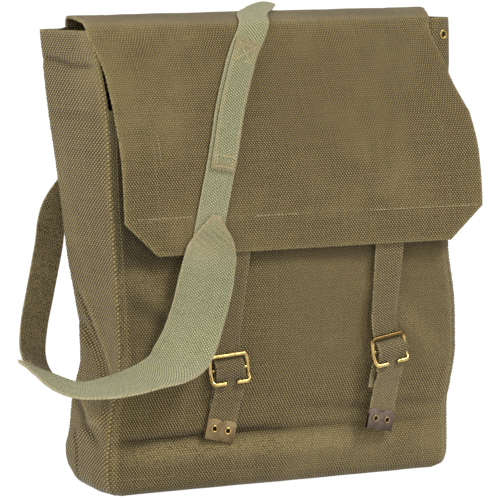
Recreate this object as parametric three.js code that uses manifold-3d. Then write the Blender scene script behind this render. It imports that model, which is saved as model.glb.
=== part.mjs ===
// A canvas haversack standing on its base: five woven panels, a flap that hangs over the front,
// two buckled closure straps and one shoulder strap that hangs in a loop round the left side.
// Millimetres. The front faces -Y, the back +Y, +Z is up, and the origin is the middle of the base.
import * as THREE from "three";
import { mergeVertices } from "three/addons/utils/BufferGeometryUtils.js";
import Module from "manifold-3d";

const wasm = await Module();
wasm.setup();

// Driving dimensions
const BODY_WIDTH = 330;
const BODY_DEPTH = 102;
const BODY_HEIGHT = 385;
const FRONT_HEIGHT = 320;
const CLOTH = 2;
const GAP = 0.3;
const CORNER_RADIUS = 10;
const BASE_RADIUS = 9;
const FLAP_WIDTH = 323;
const FLAP_RISE = 9;
const FLAP_DROP = 186;
const FLAP_AHEAD = 7.5;
const FLAP_CHAMFER = 29;
// The flap's share at which it starts to hang, and the share across it where it starts to flare
const FLAP_BEND = 0.38;
const FLARE_START = 0.45;
const WEBBING = 1.6;
const CLOSURE_WIDTH = 25.4;
const CLOSURE_TUCK = 38;
const CLOSURE_TAIL = 58;
const CHAPE_TUCK = 34;
const CHAPE_LEAF = 21;
const BUCKLE_WIDTH = 36;
const BUCKLE_HEIGHT = 26;
const BUCKLE_WIRE = 3.2;
const BUCKLE_BEND = 4;
const PRONG_GAP = 9;
const TIP_LENGTH = 17;
const TIP_SHEET = 0.7;
const TIP_SCALLOP = 2.2;
const TIP_HOLE = 3.6;
const TIP_HOLE_SPACING = 12;
const EYELET_HOLE = 4.5;
const EYELET_TUBE = 0.6;
const EYELET_RIM = 8.2;
const EYELET_FLANGE = 0.5;
const EYELET_FROM_EDGE = 11.5;
const EYELET_FROM_TOP = 12;
const STRAP_WIDTH = 25.4;
const STRAP_TUCK = 62;
const PAD_WIDTH = 49;
const PAD_THICKNESS = 2.2;

// The distance from one middle surface to the next when two webbings lie on each other
const LAYER = WEBBING + GAP;
// The flap's path for each unit of its share, over the hanging length
const FLAP_HANG = 1 / (1 - FLAP_BEND);
const REAR_UNDER_PAD = PAD_THICKNESS / 2 + 2 * GAP + WEBBING / 2;
// The same from the cloth's middle surface to the first webbing on it
const ON_CLOTH = CLOTH / 2 + GAP + WEBBING / 2;
const WIRE_ON_WEBBING = WEBBING / 2 + GAP + BUCKLE_WIRE / 2;

// The body's outline at each height: `at` is a share of the height and the four corners are shares
// of half the width. The left side is pinched in low down, where the shoulder strap pulls on it.
const SECTIONS = [
  { at: 0.0, frontLeft: 0.935, frontRight: 0.915, backLeft: 0.94, backRight: 0.94 },
  { at: 0.05, frontLeft: 0.945, frontRight: 0.925, backLeft: 0.985, backRight: 0.965 },
  { at: 0.12, frontLeft: 0.935, frontRight: 0.925, backLeft: 0.97, backRight: 0.96 },
  { at: 0.19, frontLeft: 0.915, frontRight: 0.95, backLeft: 0.955, backRight: 0.95 },
  { at: 0.27, frontLeft: 0.875, frontRight: 0.985, backLeft: 0.91, backRight: 0.955 },
  { at: 0.38, frontLeft: 0.87, frontRight: 0.98, backLeft: 0.925, backRight: 0.965 },
  { at: 0.5, frontLeft: 0.88, frontRight: 0.945, backLeft: 0.965, backRight: 0.975 },
  { at: 0.65, frontLeft: 0.895, frontRight: 0.95, backLeft: 1.0, backRight: 0.99 },
  { at: 0.83, frontLeft: 0.905, frontRight: 0.97, backLeft: 1.055, backRight: 1.015 },
  { at: 1.0, frontLeft: 0.975, frontRight: 0.975, backLeft: 1.085, backRight: 1.035 },
];

// How far each wall swells out between its corners, as a share of the body's depth
const SWELL = [
  { at: 0.0, front: 0.0, back: 0.0, left: 0.0, right: 0.0 },
  { at: 0.06, front: 0.03, back: 0.015, left: 0.05, right: 0.04 },
  { at: 0.2, front: 0.02, back: 0.02, left: 0.0, right: 0.05 },
  { at: 0.3, front: 0.02, back: 0.025, left: -0.03, right: 0.06 },
  { at: 0.5, front: 0.022, back: 0.03, left: 0.01, right: 0.05 },
  { at: 0.8, front: 0.018, back: 0.02, left: 0.02, right: 0.03 },
  { at: 1.0, front: 0.0, back: 0.0, left: 0.0, right: 0.0 },
];

// Creases pressed into a wall: it runs from height `up` at the start of the wall to `upEnd` at its
// end, `deep` is a share of the depth, `wide` a share of the height, and it fades from `full` to
// `gone`, which are shares of the wall's length.
const CREASES = [
  { wall: "front", up: 0.122, upEnd: 0.115, deep: 0.042, wide: 0.016, full: 0.35, gone: 1.5 },
  { wall: "front", up: 0.075, upEnd: 0.07, deep: -0.016, wide: 0.03, full: 0.4, gone: 1.6 },
  { wall: "left", up: 0.935, upEnd: 0.935, deep: 0.02, wide: 0.01, full: 0.9, gone: 1.6 },
  { wall: "left", up: 0.36, upEnd: 0.19, deep: 0.05, wide: 0.018, full: 0.7, gone: 1.2 },
  { wall: "left", up: 0.07, upEnd: 0.2, deep: -0.035, wide: 0.03, full: 0.8, gone: 1.3 },
  { wall: "right", up: 0.16, upEnd: 0.1, deep: 0.04, wide: 0.02, full: 0.6, gone: 1.4 },
];

// The flap from its seam on the back's top edge (`at` 0) to its hem (`at` 1): `out` is a share of
// half the depth, `rise` of the arch over the mouth, `ahead` of the room in front of the body and
// `drop` of the hanging length. `shift` and `span` are shares of the flap's width, and `flare` is
// how much of the room the right edge stands out by.
const FLAP = [
  { at: 0.0, out: 0.98, rise: 0.0, ahead: 0, drop: 0, shift: 0.028, span: 1.0, flare: 0 },
  { at: 0.02, out: 0.98, rise: 0.6, ahead: 0, drop: 0, shift: 0.028, span: 1.0, flare: 0 },
  { at: 0.045, out: 0.9, rise: 0.98, ahead: 0, drop: 0, shift: 0.027, span: 1.0, flare: 0 },
  { at: 0.11, out: 0.52, rise: 1.04, ahead: 0, drop: 0, shift: 0.016, span: 0.995, flare: 0 },
  { at: 0.19, out: 0.05, rise: 0.95, ahead: 0, drop: 0, shift: 0.0, span: 0.985, flare: 0 },
  { at: 0.27, out: -0.45, rise: 0.8, ahead: 0, drop: 0, shift: -0.016, span: 0.97, flare: 0 },
  { at: 0.34, out: -0.9, rise: 0.6, ahead: 0, drop: 0, shift: -0.026, span: 0.96, flare: 0 },
  { at: 0.37, out: -1.0, rise: 0.22, ahead: 0.6, drop: 0.0, shift: -0.024, span: 0.955, flare: 0 },
  { at: 0.405, out: -1.0, rise: 0.0, ahead: 0.95, drop: 0.045, shift: -0.015, span: 0.95, flare: 0.05 },
  { at: 0.48, out: -1.0, rise: 0.0, ahead: 1.0, drop: 0.16, shift: 0.003, span: 0.95, flare: 0.15 },
  { at: 0.6, out: -1.0, rise: 0.0, ahead: 1.0, drop: 0.35, shift: 0.024, span: 0.953, flare: 0.5 },
  { at: 0.73, out: -1.0, rise: 0.0, ahead: 1.0, drop: 0.56, shift: 0.052, span: 0.974, flare: 0.9 },
  { at: 0.88, out: -1.0, rise: 0.0, ahead: 1.0, drop: 0.81, shift: 0.062, span: 0.984, flare: 1.2 },
  { at: 1.0, out: -1.0, rise: 0.0, ahead: 1.0, drop: 1.0, shift: 0.062, span: 0.984, flare: 1.25 },
];

// How each buckle is turned: `roll` and `yaw` in degrees, and `proud` is the extra lift that the turn
// needs, a share of the buckle's width.
const TURNS = {
  left: { roll: 4, yaw: 0, proud: 0 },
  right: { roll: 7, yaw: 12, proud: 0.105 },
};

// The two closures. `top` is where the strap leaves the flap and `buckle` and `up` where the
// buckle's centre bar lies; `tail` is the tip's sideways offset. They are shares of the body's
// width and height, and `long` is a share of the tail's length.
const CLOSURES = [
  { side: "left", top: -0.127, buckle: -0.152, up: 0.265, tail: -0.044, long: 1, ...TURNS.left },
  { side: "right", top: 0.291, buckle: 0.28, up: 0.283, tail: -0.06, long: 1.13, ...TURNS.right },
];

// The shoulder strap's narrow front part, from the back's seam over the flap, in flap shares
const STRAP_ON_FLAP = [
  { across: 0.536, along: 0.002 },
  { across: 0.535, along: 0.022 },
  { across: 0.532, along: 0.045 },
  { across: 0.513, along: 0.11 },
  { across: 0.489, along: 0.19 },
  { across: 0.467, along: 0.27 },
  { across: 0.448, along: 0.34 },
  { across: 0.436, along: 0.37 },
  { across: 0.418, along: 0.405 },
  { across: 0.377, along: 0.48 },
  { across: 0.325, along: 0.6 },
  { across: 0.277, along: 0.73 },
  { across: 0.237, along: 0.88 },
  { across: 0.222, along: 0.955 },
];

// The wide part and the loop behind it, from its pointed end on the flap: `x` and `z` are shares of
// the body's width and height, `y` of its depth. `turn` and `tilt` aim the band's cross line in
// degrees and `wide` is a share of the wide part's width.
const LOOP = [
  { x: -0.174, y: -0.628, z: 0.598, turn: 2, tilt: -14, wide: 0.3 },
  { x: -0.186, y: -0.628, z: 0.562, turn: 2, tilt: -15, wide: 0.66 },
  { x: -0.2, y: -0.63, z: 0.522, turn: 2, tilt: -16, wide: 0.93 },
  { x: -0.218, y: -0.64, z: 0.46, turn: 0, tilt: -18, wide: 1 },
  { x: -0.244, y: -0.655, z: 0.388, turn: -6, tilt: -22, wide: 0.96 },
  { x: -0.281, y: -0.71, z: 0.325, turn: -26, tilt: -28, wide: 0.96 },
  { x: -0.33, y: -0.79, z: 0.29, turn: -62, tilt: -20, wide: 1 },
  { x: -0.39, y: -0.83, z: 0.275, turn: -84, tilt: -15, wide: 1 },
  { x: -0.452, y: -0.81, z: 0.262, turn: -98, tilt: -14, wide: 1 },
  { x: -0.505, y: -0.71, z: 0.254, turn: -102, tilt: -9, wide: 1 },
  { x: -0.548, y: -0.52, z: 0.252, turn: -104, tilt: -3, wide: 1 },
  { x: -0.578, y: -0.26, z: 0.259, turn: -112, tilt: 3, wide: 0.86 },
  { x: -0.592, y: 0.03, z: 0.275, turn: -138, tilt: 6, wide: 0.62 },
  { x: -0.591, y: 0.22, z: 0.302, turn: -158, tilt: 6, wide: 0.52 },
  { x: -0.575, y: 0.36, z: 0.352, turn: -168, tilt: 6, wide: 0.52 },
  { x: -0.548, y: 0.46, z: 0.422, turn: -174, tilt: 8, wide: 0.52 },
  { x: -0.517, y: 0.535, z: 0.515, turn: -178, tilt: 11, wide: 0.52 },
  { x: -0.492, y: 0.575, z: 0.6, turn: -180, tilt: 15, wide: 0.52 },
];
// Where the loop's rear end is sewn to the back, as shares of its width and height
const LOOP_ANCHOR = [
  { across: 0.1, up: 0.72 },
  { across: 0.135, up: 0.8 },
  { across: 0.165, up: 0.865 },
];

const SLOPE_STEP = 1e-3;

// Reads one column of a table at a share, along a smooth curve through its rows.
function read(table, column, at) {
  const last = table.length - 1;
  let i = 0;
  while (i < last - 1 && at > table[i + 1].at) i += 1;
  const [a, b] = [table[i], table[i + 1]];
  const slope = (k) => {
    const low = table[Math.max(k - 1, 0)];
    const high = table[Math.min(k + 1, last)];
    return (high[column] - low[column]) / (high.at - low.at);
  };
  const span = b.at - a.at;
  const t = (at - a.at) / span;
  const rise = (b[column] - a[column]) / span;
  const hold = (m) => (m * rise <= 0 ? 0 : Math.sign(m) * Math.min(Math.abs(m), 3 * Math.abs(rise)));
  const m0 = hold(slope(i)) * span;
  const m1 = hold(slope(i + 1)) * span;
  const t2 = t * t;
  const t3 = t2 * t;
  return (
    (2 * t3 - 3 * t2 + 1) * a[column] +
    (t3 - 2 * t2 + t) * m0 +
    (3 * t2 - 2 * t3) * b[column] +
    (t3 - t2) * m1
  );
}

const vec = (x, y, z) => new THREE.Vector3(x, y, z);
const degrees = (angle) => THREE.MathUtils.degToRad(angle);
const steps = (count, from = 0, to = 1) =>
  Array.from({ length: count + 1 }, (_, i) => from + ((to - from) * i) / count);

// A closed sheet of even thickness on both sides of a surface, which is a function of two shares.
// Its top side is the one that the surface's normal, across x along, points to.
function sheet(surface, across, along, thickness) {
  const positions = [];
  const index = [];
  const [columns, rows] = [across.length, along.length];
  const normalAt = (u, v) => {
    const du = surface(u + SLOPE_STEP, v).sub(surface(u - SLOPE_STEP, v));
    const dv = surface(u, v + SLOPE_STEP).sub(surface(u, v - SLOPE_STEP));
    return du.cross(dv).normalize();
  };
  for (const side of [1, -1])
    for (const v of along)
      for (const u of across)
        positions.push(...surface(u, v).addScaledVector(normalAt(u, v), (side * thickness) / 2));
  const under = columns * rows;
  const quad = (a, b, c, d) => index.push(a, b, c, a, c, d);
  for (let r = 0; r + 1 < rows; r += 1)
    for (let c = 0; c + 1 < columns; c += 1) {
      const a = r * columns + c;
      const d = a + columns;
      quad(a, a + 1, d + 1, d);
      quad(under + a, under + d, under + d + 1, under + a + 1);
    }
  const edge = (a, b) => quad(b, a, under + a, under + b);
  for (let c = 0; c + 1 < columns; c += 1) {
    edge(c, c + 1);
    edge((rows - 1) * columns + c + 1, (rows - 1) * columns + c);
  }
  for (let r = 0; r + 1 < rows; r += 1) {
    edge((r + 1) * columns, r * columns);
    edge(r * columns + columns - 1, (r + 1) * columns + columns - 1);
  }
  const geometry = new THREE.BufferGeometry();
  geometry.setAttribute("position", new THREE.Float32BufferAttribute(positions, 3));
  geometry.setIndex(index);
  return geometry;
}

function toSolid(geometry) {
  const bare = geometry.clone();
  for (const name of Object.keys(bare.attributes)) if (name !== "position") bare.deleteAttribute(name);
  const merged = mergeVertices(bare, 1e-4);
  return new wasm.Manifold(
    new wasm.Mesh({
      numProp: 3,
      vertProperties: merged.attributes.position.array,
      triVerts: new Uint32Array(merged.index.array),
    }),
  );
}

function toGeometry(solid) {
  const mesh = solid.getMesh();
  const geometry = new THREE.BufferGeometry();
  geometry.setAttribute("position", new THREE.BufferAttribute(mesh.vertProperties, 3));
  geometry.setIndex(new THREE.BufferAttribute(mesh.triVerts, 1));
  return geometry;
}

// Body

// A corner of the body's outline at a height, drawn in by `inset` on both sides.
function corner(name, z, inset) {
  const share = Math.min(Math.max(z / BODY_HEIGHT, 0), 1);
  const x = (read(SECTIONS, name, share) * BODY_WIDTH) / 2 - CLOTH / 2 - inset;
  const y = BODY_DEPTH / 2 - CLOTH / 2 - inset;
  return new THREE.Vector2(name.endsWith("Left") ? -x : x, name.startsWith("front") ? -y : y);
}

// The corners in turn, seen from above; each wall runs from its own corner to the next one.
const CORNERS = ["frontLeft", "frontRight", "backRight", "backLeft"];
const WALLS = ["front", "right", "back", "left"];

// The length of a corner's round along its wall, and where on it the mitred seam lies.
function roundAt(here, ahead, behind) {
  const half = ahead.clone().sub(here).angleTo(behind.clone().sub(here)) / 2;
  const reach = CORNER_RADIUS / Math.tan(half);
  return { reach, seam: reach - CORNER_RADIUS * Math.cos(half) + GAP * Math.SQRT1_2 };
}

// The share of a wall at each end over which a crease dies out
const CREASE_FADE = 0.125;
function creaseDepth(wall, u, z) {
  let depth = 0;
  for (const fold of CREASES) {
    if (fold.wall !== wall) continue;
    const middle = THREE.MathUtils.lerp(fold.up, fold.upEnd, u) * BODY_HEIGHT;
    const away = (z - middle) / (fold.wide * BODY_HEIGHT);
    const fade = 1 - THREE.MathUtils.smoothstep(u, fold.full, fold.gone);
    const ends = Math.min(1, u / CREASE_FADE, (1 - u) / CREASE_FADE);
    depth += fold.deep * BODY_DEPTH * Math.exp(-away * away) * fade * Math.max(ends, 0);
  }
  return depth;
}

// A point of a wall's middle surface: u runs from its first corner seam to its second.
function wallPoint(wall, u, z, inset = 0) {
  const first = WALLS.indexOf(wall);
  const [from, to, next, before] = [0, 1, 2, 3].map((k) => corner(CORNERS[(first + k) % 4], z, inset));
  const start = roundAt(from, to, before);
  const end = roundAt(to, from, next);
  const run = to.clone().sub(from);
  const length = run.length();
  const ahead = run.divideScalar(length);
  const d = start.seam + u * (length - start.seam - end.seam);
  const near = Math.max(start.reach - d, end.reach - (length - d), 0);
  const round = CORNER_RADIUS - Math.sqrt(CORNER_RADIUS ** 2 - near ** 2);
  const swell = read(SWELL, wall, Math.min(Math.max(z / BODY_HEIGHT, 0), 1)) * BODY_DEPTH;
  const out = swell * Math.sin((Math.PI * d) / length) - round - creaseDepth(wall, u, z);
  return vec(from.x + ahead.x * d + ahead.y * out, from.y + ahead.y * d - ahead.x * out, z);
}

// A wall from the base's seam (v = 0), round the base's edge and up to its top edge (v = 1).
const ROUND_SHARE = 0.06;
const WALL_ROWS = 19;
const wallTop = (wall) => (wall === "front" ? FRONT_HEIGHT : BODY_HEIGHT);
function wallSurface(wall) {
  return (u, v) => {
    const lowest = CLOTH / 2;
    if (v >= ROUND_SHARE) {
      const share = (v - ROUND_SHARE) / (1 - ROUND_SHARE);
      return wallPoint(wall, u, THREE.MathUtils.lerp(lowest + BASE_RADIUS, wallTop(wall), share));
    }
    const angle = (1 - v / ROUND_SHARE) * (Math.PI / 2);
    const z = lowest + BASE_RADIUS * (1 - Math.sin(angle));
    return wallPoint(wall, u, z, BASE_RADIUS * (1 - Math.cos(angle)));
  };
}

// Rows of every wall, the same on all four so that their seams meet: the rounded foot, even rows,
// and close rows over each level crease.
function wallRows(wall) {
  const foot = CLOTH / 2 + BASE_RADIUS;
  const levels = CREASES.filter((fold) => Math.abs(fold.up - fold.upEnd) < fold.wide);
  const close = levels.flatMap((fold) => [-1, 0, 1].map((k) => (fold.up + k * fold.wide) * BODY_HEIGHT));
  const even = steps(WALL_ROWS, foot, BODY_HEIGHT).filter((z) =>
    [FRONT_HEIGHT, ...close].every((other) => Math.abs(z - other) > BODY_HEIGHT / WALL_ROWS / 2.5),
  );
  const top = wallTop(wall);
  const heights = [...new Set([...even, ...close, FRONT_HEIGHT, BODY_HEIGHT])];
  const rows = heights.filter((z) => z > foot && z <= top).sort((p, q) => p - q);
  const share = (z) => ROUND_SHARE + ((1 - ROUND_SHARE) * (z - foot)) / (top - foot);
  return [0, ROUND_SHARE / 3, (2 * ROUND_SHARE) / 3, ROUND_SHARE, ...rows.map(share)];
}

// Columns of a wall: close together on its rounded corners.
function wallColumns(width, spacing) {
  const bend = CORNER_RADIUS / width;
  return [0, bend / 2, ...steps(Math.round(width / spacing), bend, 1 - bend), 1 - bend / 2, 1];
}

function wallSheet(wall, width, spacing) {
  return sheet(wallSurface(wall), wallColumns(width, spacing), wallRows(wall), CLOTH);
}

// The base lies inside the walls' turned-in feet and follows all four of them.
function baseSheet() {
  const z = CLOTH / 2;
  const inset = BASE_RADIUS + GAP;
  const front = (u) => wallPoint("front", u, z, inset);
  const back = (u) => wallPoint("back", 1 - u, z, inset);
  const left = (v) => wallPoint("left", 1 - v, z, inset);
  const right = (v) => wallPoint("right", v, z, inset);
  const mix = (a, b, t) => a.clone().lerp(b, t);
  const surface = (u, v) => {
    const ruled = mix(front(u), back(u), v).add(mix(left(v), right(v), u));
    return ruled.sub(mix(mix(front(0), front(1), u), mix(back(0), back(1), u), v)).setZ(z);
  };
  const across = wallColumns(BODY_WIDTH, BODY_WIDTH / 8);
  return sheet(surface, across, wallColumns(BODY_DEPTH, BODY_DEPTH / 3), CLOTH);
}

// Flap

function flapPoint(across, along) {
  const at = Math.min(Math.max(along, 0), 1);
  const take = (column) => read(FLAP, column, at);
  const x = FLAP_WIDTH * (take("shift") + take("span") * (across - 0.5));
  const flare = take("flare") * Math.max(across - FLARE_START, 0) ** 2;
  const y = (take("out") * BODY_DEPTH) / 2 - (take("ahead") + 2 * flare) * FLAP_AHEAD;
  const z = BODY_HEIGHT + GAP + take("rise") * FLAP_RISE - take("drop") * FLAP_DROP;
  return vec(x, y, z + (along - at) * FLAP_DROP * (along > 1 ? -1 : 1));
}

function flapSurface(u, v) {
  const fromHem = (1 - v) * FLAP_DROP * FLAP_HANG;
  const cut = Math.max(FLAP_CHAMFER - fromHem, 0) / FLAP_WIDTH;
  return flapPoint(cut + u * (1 - 2 * cut), v);
}

const FLAP_COLUMNS = 16;
const FLAP_HANG_ROWS = 6;
const FLAP_HANG_START = 0.46;
function flapSheet() {
  const chamfer = FLAP_CHAMFER / (FLAP_DROP * FLAP_HANG);
  const top = FLAP.map((row) => row.at).filter((at) => at < FLAP_HANG_START);
  const hang = steps(FLAP_HANG_ROWS, FLAP_HANG_START, 1 - chamfer);
  return sheet(flapSurface, steps(FLAP_COLUMNS), [...top, ...hang, 1 - chamfer / 2, 1], CLOTH);
}

// Bands of webbing

// A route is a list of rows, each a point and a cross line. A band follows it from one share to
// another, `offset` to its outer side, which is the one away from the bag.
function band(route, { from = 0, to = 1, count, width, thickness, offset = 0, columns = 2 }) {
  const curve = new THREE.CatmullRomCurve3(route.map((row) => row.point), false, "centripetal");
  const crossAt = (t) => {
    const place = Math.min(Math.max(t, 0), 1) * (route.length - 1);
    const i = Math.min(Math.floor(place), route.length - 2);
    return route[i].cross.clone().lerp(route[i + 1].cross, place - i).normalize();
  };
  const surface = (u, v) => {
    const t = from + v * (to - from);
    const inside = Math.min(Math.max(t, 0), 1);
    const tangent = curve.getTangent(inside);
    const point = curve.getPoint(inside).addScaledVector(tangent, (t - inside) * curve.getLength());
    const cross = crossAt(inside);
    cross.addScaledVector(tangent, -cross.dot(tangent)).normalize();
    const normal = tangent.clone().cross(cross);
    return point.addScaledVector(cross, (u - 0.5) * width(inside)).addScaledVector(normal, offset);
  };
  return sheet(surface, steps(columns), steps(count), thickness);
}

// Closures

// A buckle's own frame on the front wall: local x across the strap, y up along it, z outwards.
function closureFrame(closure) {
  const z = closure.up * BODY_HEIGHT;
  const x = closure.buckle * BODY_WIDTH;
  const front = frontAt(x, z, closure.proud * BUCKLE_WIDTH);
  const across = vec(Math.cos(degrees(closure.roll)), 0, Math.sin(degrees(closure.roll)));
  across.applyAxisAngle(vec(0, 0, 1), degrees(closure.yaw));
  const up = vec(-Math.sin(degrees(closure.roll)), 0, Math.cos(degrees(closure.roll)));
  up.applyAxisAngle(vec(0, 0, 1), degrees(closure.yaw));
  const out = across.clone().cross(up);
  return new THREE.Matrix4().makeBasis(across, up, out).setPosition(front);
}

// The front wall's broad shape, without its creases, `lift` in front of its middle surface.
function frontAt(x, z, lift) {
  const [left, right] = CORNERS.slice(0, 2).map((name) => corner(name, z, 0));
  const share = (x - left.x) / (right.x - left.x);
  const swell = read(SWELL, "front", z / BODY_HEIGHT) * BODY_DEPTH * Math.sin(Math.PI * share);
  return vec(x, left.y - swell - lift, z);
}

const BAR_OUT = ON_CLOTH + WIRE_ON_WEBBING;
const PRONG_OUT = ON_CLOTH + 2 * LAYER + WIRE_ON_WEBBING;
const BAR_UP = (BUCKLE_HEIGHT - BUCKLE_WIRE) / 2;
const LOOP_RADIUS = BUCKLE_WIRE / 2 + GAP + WEBBING / 2;

// The strap's side view at the buckle, in the buckle's frame: under the top bar, over the centre
// bar with its chape, and back under the prongs. `bar` is a share of the way to the outer bars.
const STRAP_WEAVE = [
  { bar: 2.2, out: ON_CLOTH },
  { bar: 1.35, out: ON_CLOTH },
  { bar: 1.0, out: ON_CLOTH },
  { bar: 0.76, out: ON_CLOTH + 0.2 * LAYER },
  { bar: 0.4, out: BAR_OUT + LOOP_RADIUS - GAP },
  { bar: 0.0, out: BAR_OUT + LOOP_RADIUS + LAYER },
  { bar: -0.42, out: BAR_OUT + LOOP_RADIUS + 0.3 * LAYER },
  { bar: -0.76, out: ON_CLOTH + 2.2 * LAYER },
  { bar: -1.0, out: ON_CLOTH + 2 * LAYER },
  { bar: -1.4, out: ON_CLOTH + 2 * LAYER },
];

// The middle of a closure strap at a height over the buckle, in the buckle's frame.
const tailLength = (closure) => closure.long * CLOSURE_TAIL;
const leanAt = (closure, y) =>
  y > -BAR_UP ? 0 : (closure.tail * BODY_WIDTH * (y + BAR_UP)) / (BAR_UP - tailLength(closure));

function closureRoute(closure) {
  const frame = closureFrame(closure);
  const across = vec(1, 0, 0).transformDirection(frame);
  const row = (x, y, z) => ({ point: vec(x, y, z).applyMatrix4(frame), cross: across });
  const topX = closure.top * BODY_WIDTH;
  const hemShare = (topX - flapPoint(0, 1).x) / (flapPoint(1, 1).x - flapPoint(0, 1).x);
  const onFlap = (along) => flapRow({ across: hemShare, along }, -ON_CLOTH - GAP);
  const tuck = CLOSURE_TUCK / (FLAP_DROP * FLAP_HANG);
  const buckleTop = row(0, STRAP_WEAVE[0].bar * BAR_UP, ON_CLOTH).point;
  const hem = onFlap(1).point;
  const middle = (t) => {
    const x = THREE.MathUtils.lerp(hem.x, buckleTop.x, t);
    const z = THREE.MathUtils.lerp(hem.z, buckleTop.z, t);
    const wall = frontAt(x, z, ON_CLOTH);
    wall.y = Math.min(wall.y, THREE.MathUtils.lerp(hem.y, buckleTop.y, t));
    return { point: wall, cross: onFlap(1).cross.lerp(across, t) };
  };
  const long = tailLength(closure);
  const tail = [
    { y: -CHAPE_LEAF - WEBBING, layers: 2 },
    { y: -(CHAPE_LEAF + CHAPE_TUCK) / 2, layers: 1.4 },
    { y: -CHAPE_TUCK - WEBBING, layers: 1.2 },
    { y: -(CHAPE_TUCK + long) / 2, layers: 1 },
    { y: -long, layers: 1 },
  ].map(({ y, layers }) => row(leanAt(closure, y), y, ON_CLOTH + layers * LAYER));
  return [
    onFlap(1 - tuck),
    onFlap(1 - tuck / 2),
    onFlap(1),
    middle(0.3),
    middle(0.7),
    ...STRAP_WEAVE.map(({ bar, out }) => row(leanAt(closure, bar * BAR_UP), bar * BAR_UP, out)),
    ...tail,
  ];
}

// The chape's upper layer on its way down from the centre bar, in the same columns as STRAP_WEAVE
const CHAPE_RETURN = [
  { bar: -0.28, out: BAR_OUT + 0.72 * LOOP_RADIUS },
  { bar: -0.55, out: ON_CLOTH + 1.3 * LAYER },
  { bar: -0.8, out: ON_CLOTH + LAYER },
  { bar: -1, out: ON_CLOTH + LAYER },
];
// The chape: sewn flat below the buckle, up round the centre bar and back down over itself.
function chapeRoute(closure) {
  const frame = closureFrame(closure);
  const cross = vec(1, 0, 0).transformDirection(frame);
  const row = (y, out) => ({ point: vec(leanAt(closure, y), y, out).applyMatrix4(frame), cross });
  const round = steps(6, -Math.PI / 2, Math.PI / 2).map((angle) =>
    row(LOOP_RADIUS * Math.cos(angle), BAR_OUT + LOOP_RADIUS * Math.sin(angle)),
  );
  return [
    row(-CHAPE_TUCK, ON_CLOTH),
    row(-CHAPE_LEAF, ON_CLOTH),
    row(-BAR_UP, ON_CLOTH),
    row(-BAR_UP / 2, ON_CLOTH),
    ...round,
    ...CHAPE_RETURN.map(({ bar, out }) => row(bar * BAR_UP, out)),
    row(-CHAPE_LEAF, ON_CLOTH + LAYER),
  ];
}

const WIRE_SIDES = 6;
function wireSolid(points, closed) {
  const section = new THREE.Shape();
  section.absarc(0, 0, BUCKLE_WIRE / 2, 0, 2 * Math.PI, false);
  const curve = new THREE.CatmullRomCurve3(points, closed, "catmullrom", 0);
  const count = points.length * 2;
  return new THREE.ExtrudeGeometry(section, {
    steps: count,
    curveSegments: WIRE_SIDES / 2,
    bevelEnabled: false,
    extrudePath: curve,
  });
}

// The buckle: a wire frame, open at the bottom between its two prongs, with a centre bar.
function buckleSolid(closure) {
  const side = (BUCKLE_WIDTH - BUCKLE_WIRE) / 2;
  const outAt = (y) => (y > 0 ? BAR_OUT : BAR_OUT + (PRONG_OUT - BAR_OUT) * (y / BAR_UP) ** 2);
  const bend = (cx, cy, from) =>
    steps(3, from, from + Math.PI / 2).map((angle) => {
      const y = cy + BUCKLE_BEND * Math.sin(angle);
      return vec(cx + BUCKLE_BEND * Math.cos(angle), y, outAt(y));
    });
  const [innerX, innerY] = [side - BUCKLE_BEND, BAR_UP - BUCKLE_BEND];
  const sides = (x, ys) => ys.map((y) => vec(x, y, outAt(y)));
  const points = [
    vec(PRONG_GAP / 2, -BAR_UP, PRONG_OUT),
    ...bend(innerX, -innerY, -Math.PI / 2),
    ...sides(side, [-innerY / 2, 0]),
    ...bend(innerX, innerY, 0),
    ...bend(-innerX, innerY, Math.PI / 2),
    ...sides(-side, [0, -innerY / 2]),
    ...bend(-innerX, -innerY, Math.PI),
    vec(-PRONG_GAP / 2, -BAR_UP, PRONG_OUT),
  ];
  const bar = wireSolid([vec(-side, 0, BAR_OUT), vec(0, 0, BAR_OUT), vec(side, 0, BAR_OUT)], false);
  const joined = toSolid(wireSolid(points, false)).add(toSolid(bar));
  return toGeometry(joined).applyMatrix4(closureFrame(closure));
}

// A tip's own frame at the end of a closure strap: local y runs up the strap.
function tipFrame(closure, route) {
  const [above, end] = route.slice(-2).map((row) => row.point);
  const up = above.clone().sub(end).normalize();
  const across = route[route.length - 1].cross.clone();
  across.addScaledVector(up, -across.dot(up)).normalize();
  return new THREE.Matrix4().makeBasis(across, up, across.clone().cross(up)).setPosition(end);
}

function pinGeometry(radius, length) {
  return new THREE.CylinderGeometry(radius, radius, length, 12).rotateX(Math.PI / 2);
}

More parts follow.
